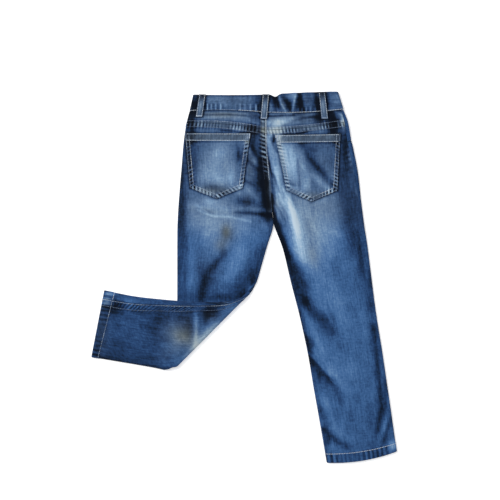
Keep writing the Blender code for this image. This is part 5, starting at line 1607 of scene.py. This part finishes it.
# Short threads side by side across a bar: middle of its ends, width and paleness
def barTack(tree, start, end, width, dye):
    start, end = np.array(start, float), np.array(end, float)
    length = np.linalg.norm(end - start)
    along = (end - start) / length
    across = np.array([-along[1], along[0]]) * width / 2
    lines = []
    for n in range(int(length / thread["tackStep"]) + 1):
        middle = start + along * n * thread["tackStep"]
        hits = [castOn(tree, *(middle + across * k))[0] for k in (-1, 0, 1)]
        if all(hits):
            line = [(*(middle + across * k), hit.z / mm) for k, hit in zip((-1, 0, 1), hits)]
            lines.append((np.array(line), dye))
    return lines


pale, grey, brown = thread["pale"], thread["grey"], thread["brown"]
trees = {node: treeOf(piece) for node, piece in pieces.items()}
bodyTree = treeOf(*pieces.values())

# seams of the back
lines = []
for side in ("left", "right"):
    for piece, away in (("yoke", -4.4), ("back", 7.6)):
        lines.append((contour(f"cloth_{piece}_{side}", "belowSeam", away, down=True), thread["dull"]))
onSeat = lambda face: (face["y"] > 186) & (face["turn"] == 0) & (face["roll"] < 0.5)
for piece in ("yoke", "back"):
    lines.append((contour(f"cloth_{piece}_left", "fromInner", 7.3, keep=onSeat), brown))
    lines.append((contour(f"cloth_{piece}_right", "fromInner", 1.3, keep=onSeat), pale))
sewLines("stitches_back_seams", bodyTree, lines)

# hems, all round
lines = [(contour(f"cloth_{panel}_{side}", "toEnd", 16.2, down=True), dye)
         for panel, dye in (("back", pale), ("front", grey)) for side in ("left", "right")]
sewLines("stitches_hems", bodyTree, lines)

# both lines of each inseam
onLeg = lambda face: (face["roll"] > 0.5) & ((face["y"] < 90) | (face["turn"] > 0))
lines = [(contour(f"cloth_front_{side}", "fromInner", away, keep=onLeg), dye)
         for side in ("left", "right") for away, dye in ((1.3, 0.7), (12.6, 0.4))]
sewLines("stitches_inseams", bodyTree, lines)

# the waistband's thread is darker on the left of its back
seam = contour("cloth_waistband", "share", 0.968, down=True)
worn = (seam[:, 0] > -84) & (seam[:, 0] < -12) & (seam[:, 2] > 4)
parts = np.split(np.arange(len(seam)), np.nonzero(np.diff(worn))[0] + 1)
lines = [(seam[n], thread["dull"] if worn[n[0]] else pale) for n in parts]
sewLines("stitches_waistband", trees["waistband"], lines)


# Points inside a pocket's outline, at a distance from its edge
def insetCorners(corners, distance):
    corners = [np.array(c, float) for c in corners]
    middle = np.mean(corners, axis=0)
    moved = []
    for start, end in zip(corners[:-1], corners[1:]):
        along = (end - start) / np.linalg.norm(end - start)
        inward = np.array([-along[1], along[0]])
        if np.dot(middle - start, inward) < 0:
            inward = -inward
        moved.append((start + inward * distance, along))
    points = [moved[0][0]]
    for (p, d), (q, e) in zip(moved[:-1], moved[1:]):
        t = ((q - p)[0] * e[1] - (q - p)[1] * e[0]) / (d[0] * e[1] - d[1] * e[0])
        points.append(p + d * t)
    last, along = moved[-1]
    points.append(last + along * np.linalg.norm(corners[-1] - corners[-2]))
    return points


for side in ("left", "right"):
    tree = trees[f"back_pocket_{side}"]
    topOut, topIn, lowIn, point, lowOut = (np.array(c) for c in patchPockets[side])
    outline = (topOut, lowOut, point, lowIn, topIn)
    lines = [(layLine(tree, insetCorners(outline, away)), dye) for away, dye in ((1.7, 0.62), (7.6, grey))]
    for down in (1.6, 13.2):
        ends = [top + (low - top) * down / 100 for top, low in ((topOut, lowOut), (topIn, lowIn))]
        inward = (ends[1] - ends[0]) / np.linalg.norm(ends[1] - ends[0]) * 2
        lines.append((layLine(tree, (ends[0] + inward, ends[1] - inward)), pale))
    sewLines(f"stitches_pocket_{side}", tree, lines)

# belt loops
for name, (topX, topY, lowX, lowY) in beltLoops["back"].items():
    tree = trees[f"belt_loop_{name}"]
    aside = beltLoops["width"] / 2 - beltLoops["edge"]
    lines = [(layLine(tree, [(topX + shift, topY - 1), (lowX + shift, lowY + 1)]), 0.95)
             for shift in (-aside, aside)]
    sewLines(f"stitches_loop_{name}", tree, lines)

# bar tacks
tacks = []
for name, (topX, topY, lowX, lowY) in beltLoops["back"].items():
    tree, aside = trees[f"belt_loop_{name}"], beltLoops["width"] / 2 - 0.9
    tacks += barTack(tree, (lowX - aside, lowY + 1.9), (lowX + aside, lowY + 1.9), 2.4, 0.75)
for side, inward in (("left", -1), ("right", 1)):
    tree = trees[f"back_pocket_{side}"]
    topOut, topIn = patchPockets[side][:2]
    for aside, dye in ((2.0, 0.95), (4.9, 0.75)):
        x = topIn[0] + inward * aside
        tacks += barTack(tree, (x, topIn[1] - 0.8), (x + inward * 0.6, topIn[1] - 11.5), 2.3, dye)
    x = topOut[0] - inward * 2.2
    tacks += barTack(tree, (x, topOut[1] - 0.8), (x - inward * 0.3, topOut[1] - 8.0), 2.3, 0.3)
sewLines("stitches_tacks", bodyTree, tacks, length=2.0, gap=0.1, radius=0.42)

# the front: fly, rise and the scoop pockets' mouths
onRise = lambda face: (face["roll"] < 0.5) & (face["y"] < 190) & (face["turn"] == 0)
inMouth = lambda face: face["scooped"]
fly = {"x": 39.0, "top": 297.0, "width": 34.0, "turnDown": 226.0, "end": 190.0, "gap": 6.0}
lines = []
for away in (1.3, 7.3):
    lines.append((contour("cloth_front_left", "fromInner", away, keep=onRise), grey))
    for side in ("left", "right"):
        lines.append((contour(f"cloth_front_{side}", "fromOuter", away + 0.4, keep=inMouth), pale))
for width in (fly["width"], fly["width"] - fly["gap"]):
    bend = [(fly["x"] - width * math.cos(a), fly["turnDown"] - (fly["turnDown"] - fly["end"]) * math.sin(a))
            for a in np.linspace(0, 0.47 * math.pi, 14)]
    corners = [(fly["x"] - width, fly["top"])] + bend
    lines.append((layLine(trees["front_left"], corners, fromAbove=False), pale))
sewLines("stitches_front", bodyTree, lines)
print("stitches made")


# Waist button: it lies face down under the waistband's end
button = {
    "centre": (39.84, 310.08),
    "radius": 8.0,
    "thickness": 1.4,
    "points": 64,
    "rim": 1.9,
    "recess": 0.45,
    "ringAt": 0.9,
    "ringWidth": 0.7,
    "ringRise": 0.25,
    "shank": 3.2,
    "shankRise": 0.45,
    "domeSteps": ((2.4, -0.2), (1.0, -0.08)),
    "bevel": 0.16,
}


def selectFace(obj, facing):
    shape = bmesh.from_edit_mesh(obj.data)
    inner = max((f for f in shape.faces if f.normal.z * facing > 0.9), key=lambda f: len(f.verts))
    for face in shape.faces:
        face.select_set(face == inner)
    bmesh.update_edit_mesh(obj.data)


def pushIn(inset, push):
    bpy.ops.mesh.inset(thickness=inset * mm, depth=0)
    if push:
        bpy.ops.mesh.extrude_region_move(TRANSFORM_OT_translate={"value": (0, 0, push * mm)})


def makeButton():
    for obj in bpy.context.selected_objects:
        obj.select_set(False)
    bpy.ops.mesh.primitive_cylinder_add(
        vertices=button["points"], radius=button["radius"] * mm, depth=button["thickness"] * mm,
        location=(button["centre"][0] * mm, button["centre"][1] * mm, button["thickness"] / 2 * mm),
    )
    obj = bpy.context.active_object
    obj.name = "metal_waist_button"
    bpy.ops.object.mode_set(mode="EDIT")
    bpy.ops.mesh.select_mode(type="FACE")
    selectFace(obj, -1)
    pushIn(button["rim"], button["recess"])
    pushIn(button["ringAt"], -button["ringRise"])
    pushIn(button["ringWidth"], button["ringRise"])
    for inset, push in button["domeSteps"]:
        pushIn(inset, push)
    selectFace(obj, 1)
    pushIn(button["radius"] - button["shank"], button["shankRise"])
    bpy.ops.object.mode_set(mode="OBJECT")
    bpy.ops.object.transform_apply(location=True, rotation=True, scale=True)
    bevel = obj.modifiers.new("roundedEdges", "BEVEL")
    bevel.width = button["bevel"] * mm
    bevel.segments = 3
    bevel.limit_method = "ANGLE"
    bevel.angle_limit = math.radians(35)
    bpy.ops.object.modifier_apply(modifier=bevel.name)
    bpy.ops.object.shade_smooth_by_angle(angle=math.radians(40))
    obj.data.materials.append(makeBrass())
    return rideAndReplace(obj, "waist_button", slot="metal")


def makeBrass():
    material, tree, shader = startMaterial("agedBrass", {"Metallic": 1.0})
    patina = objectNoise(tree, 420.0, 6.0)
    colour = rampNode(tree, [(0.35, (0.13, 0.10, 0.075, 1)), (0.65, (0.50, 0.40, 0.28, 1))], patina)
    tree.links.new(colour, shader.inputs["Base Color"])
    tree.links.new(plus(tree, times(tree, patina, -0.35), 0.60), shader.inputs["Roughness"])
    addRelief(tree, shader, patina, 0.00006)
    return material


makeButton()
print("waist button made")


# Studio
studio = {
    "centre": (0.01084, 0.05062),
    "cloth": 0.006,
    "view": 0.925,
    "lens": 90.0,
    "sensor": 36.0,
    "world": 0.40,
    "floorGlow": 0.3,
    "floor": (4.0, -0.0006),  # half its width, and its height
    # place, size and power
    "lights": {"keyLight": ((-1.5, 1.0, 1.9), 1.5, 56.0), "fillLight": ((1.5, -0.6, 1.8), 1.6, 9.0),
               "topLight": ((0.0, 0.3, 2.6), 1.5, 8.0)},
}


def makeLight(name, place, size, power):
    data = bpy.data.lights.new(name, "AREA")
    data.shape = "SQUARE"
    data.size = size
    data.energy = power
    aim = Vector((*studio["centre"], 0.0)) - Vector(place)
    addObject(name, data, place).rotation_euler = aim.to_track_quat("-Z", "Y").to_euler()


def makeFloor():
    half, height = studio["floor"]
    mesh = bpy.data.meshes.new("floor")
    corners = ((-half, -half), (half, -half), (half, half), (-half, half))
    mesh.from_pydata([(x, y, height) for x, y in corners], [], [(0, 1, 2, 3)])
    material, tree, shader = startMaterial("paleFloor", {
        "Roughness": 0.9, "Specular IOR Level": 0.1, "Emission Strength": studio["floorGlow"]})
    colour = rampNode(tree, [(n, (grey, grey, grey, 1)) for n, grey in ((0, 0.93), (1, 0.97))],
                      objectNoise(tree, 6.0))
    tree.links.new(colour, shader.inputs["Base Color"])
    mesh.materials.append(material)
    addObject("floor", mesh)


def makeStudio():
    cameraData = bpy.data.cameras.new("camera")
    cameraData.lens = studio["lens"]
    cameraData.sensor_width = studio["sensor"]
    height = studio["view"] * studio["lens"] / studio["sensor"]
    camera = addObject("camera", cameraData, (*studio["centre"], studio["cloth"] + height))
    bpy.context.scene.camera = camera
    for name, values in studio["lights"].items():
        makeLight(name, *values)
    world = bpy.data.worlds.new("world")
    world.use_nodes = True
    background = world.node_tree.nodes["Background"]
    background.inputs["Color"].default_value = (1, 1, 1, 1)
    background.inputs["Strength"].default_value = studio["world"]
    bpy.context.scene.world = world
    bpy.context.scene.view_settings.view_transform = "Standard"
    makeFloor()


makeStudio()
print("studio ready")

# How each piece of cloth is cut: flat width and length in metres, its area where the cut isn't a
# rectangle, how it is held, what it lies on, and the stitches that go with it
cuts = {
    "yoke_left": ((0.150, 0.036), 0.0040, "laid", ["front_left"], []),
    "yoke_right": ((0.150, 0.036), 0.0042, "laid", ["front_right"], []),
    "back_left": ((0.185, 0.60), 0.0885, "folded", ["front_left"], ["stitches_back_seams"]),
    "back_right": ((0.185, 0.64), 0.0931, "laid", ["front_right"], []),
    "front_left": ((0.18, 0.60), 0.0845, "folded", [], ["stitches_front"]),
    "front_right": ((0.18, 0.64), 0.0944, "laid", [], []),
    "pocket_facing_left": ((0.062, 0.060), 0.0025, "laid", ["front_left"], []),
    "pocket_facing_right": ((0.062, 0.060), 0.0027, "laid", ["front_right"], []),
    "back_pocket_left": ((0.122, 0.122), 0.0125, "laid", ["back_left"], ["stitches_pocket_left"]),
    "back_pocket_right": ((0.122, 0.122), 0.0126, "laid", ["back_right"], ["stitches_pocket_right"]),
    "waistband": ((0.56, 0.034), None, "gathered", ["waist_button"], ["stitches_waistband"]),
    "belt_loop_back_left": ((0.0125, 0.0455), None, "laid", ["waistband"], ["stitches_loop_back_left"]),
    "belt_loop_back_centre": ((0.0125, 0.050), None, "laid", ["waistband"], ["stitches_loop_back_centre"]),
    "belt_loop_back_right": ((0.0125, 0.054), None, "laid", ["waistband"], ["stitches_loop_back_right"]),
    "belt_loop_front_left": ((0.0125, 0.045), None, "laid", [], []),
    "belt_loop_front_right": ((0.0125, 0.045), None, "laid", [], []),
}
for node, (flat, area, held, restsOn, sewn) in cuts.items():
    stitches = [bpy.data.objects[name] for name in sewn]
    pieces[node]
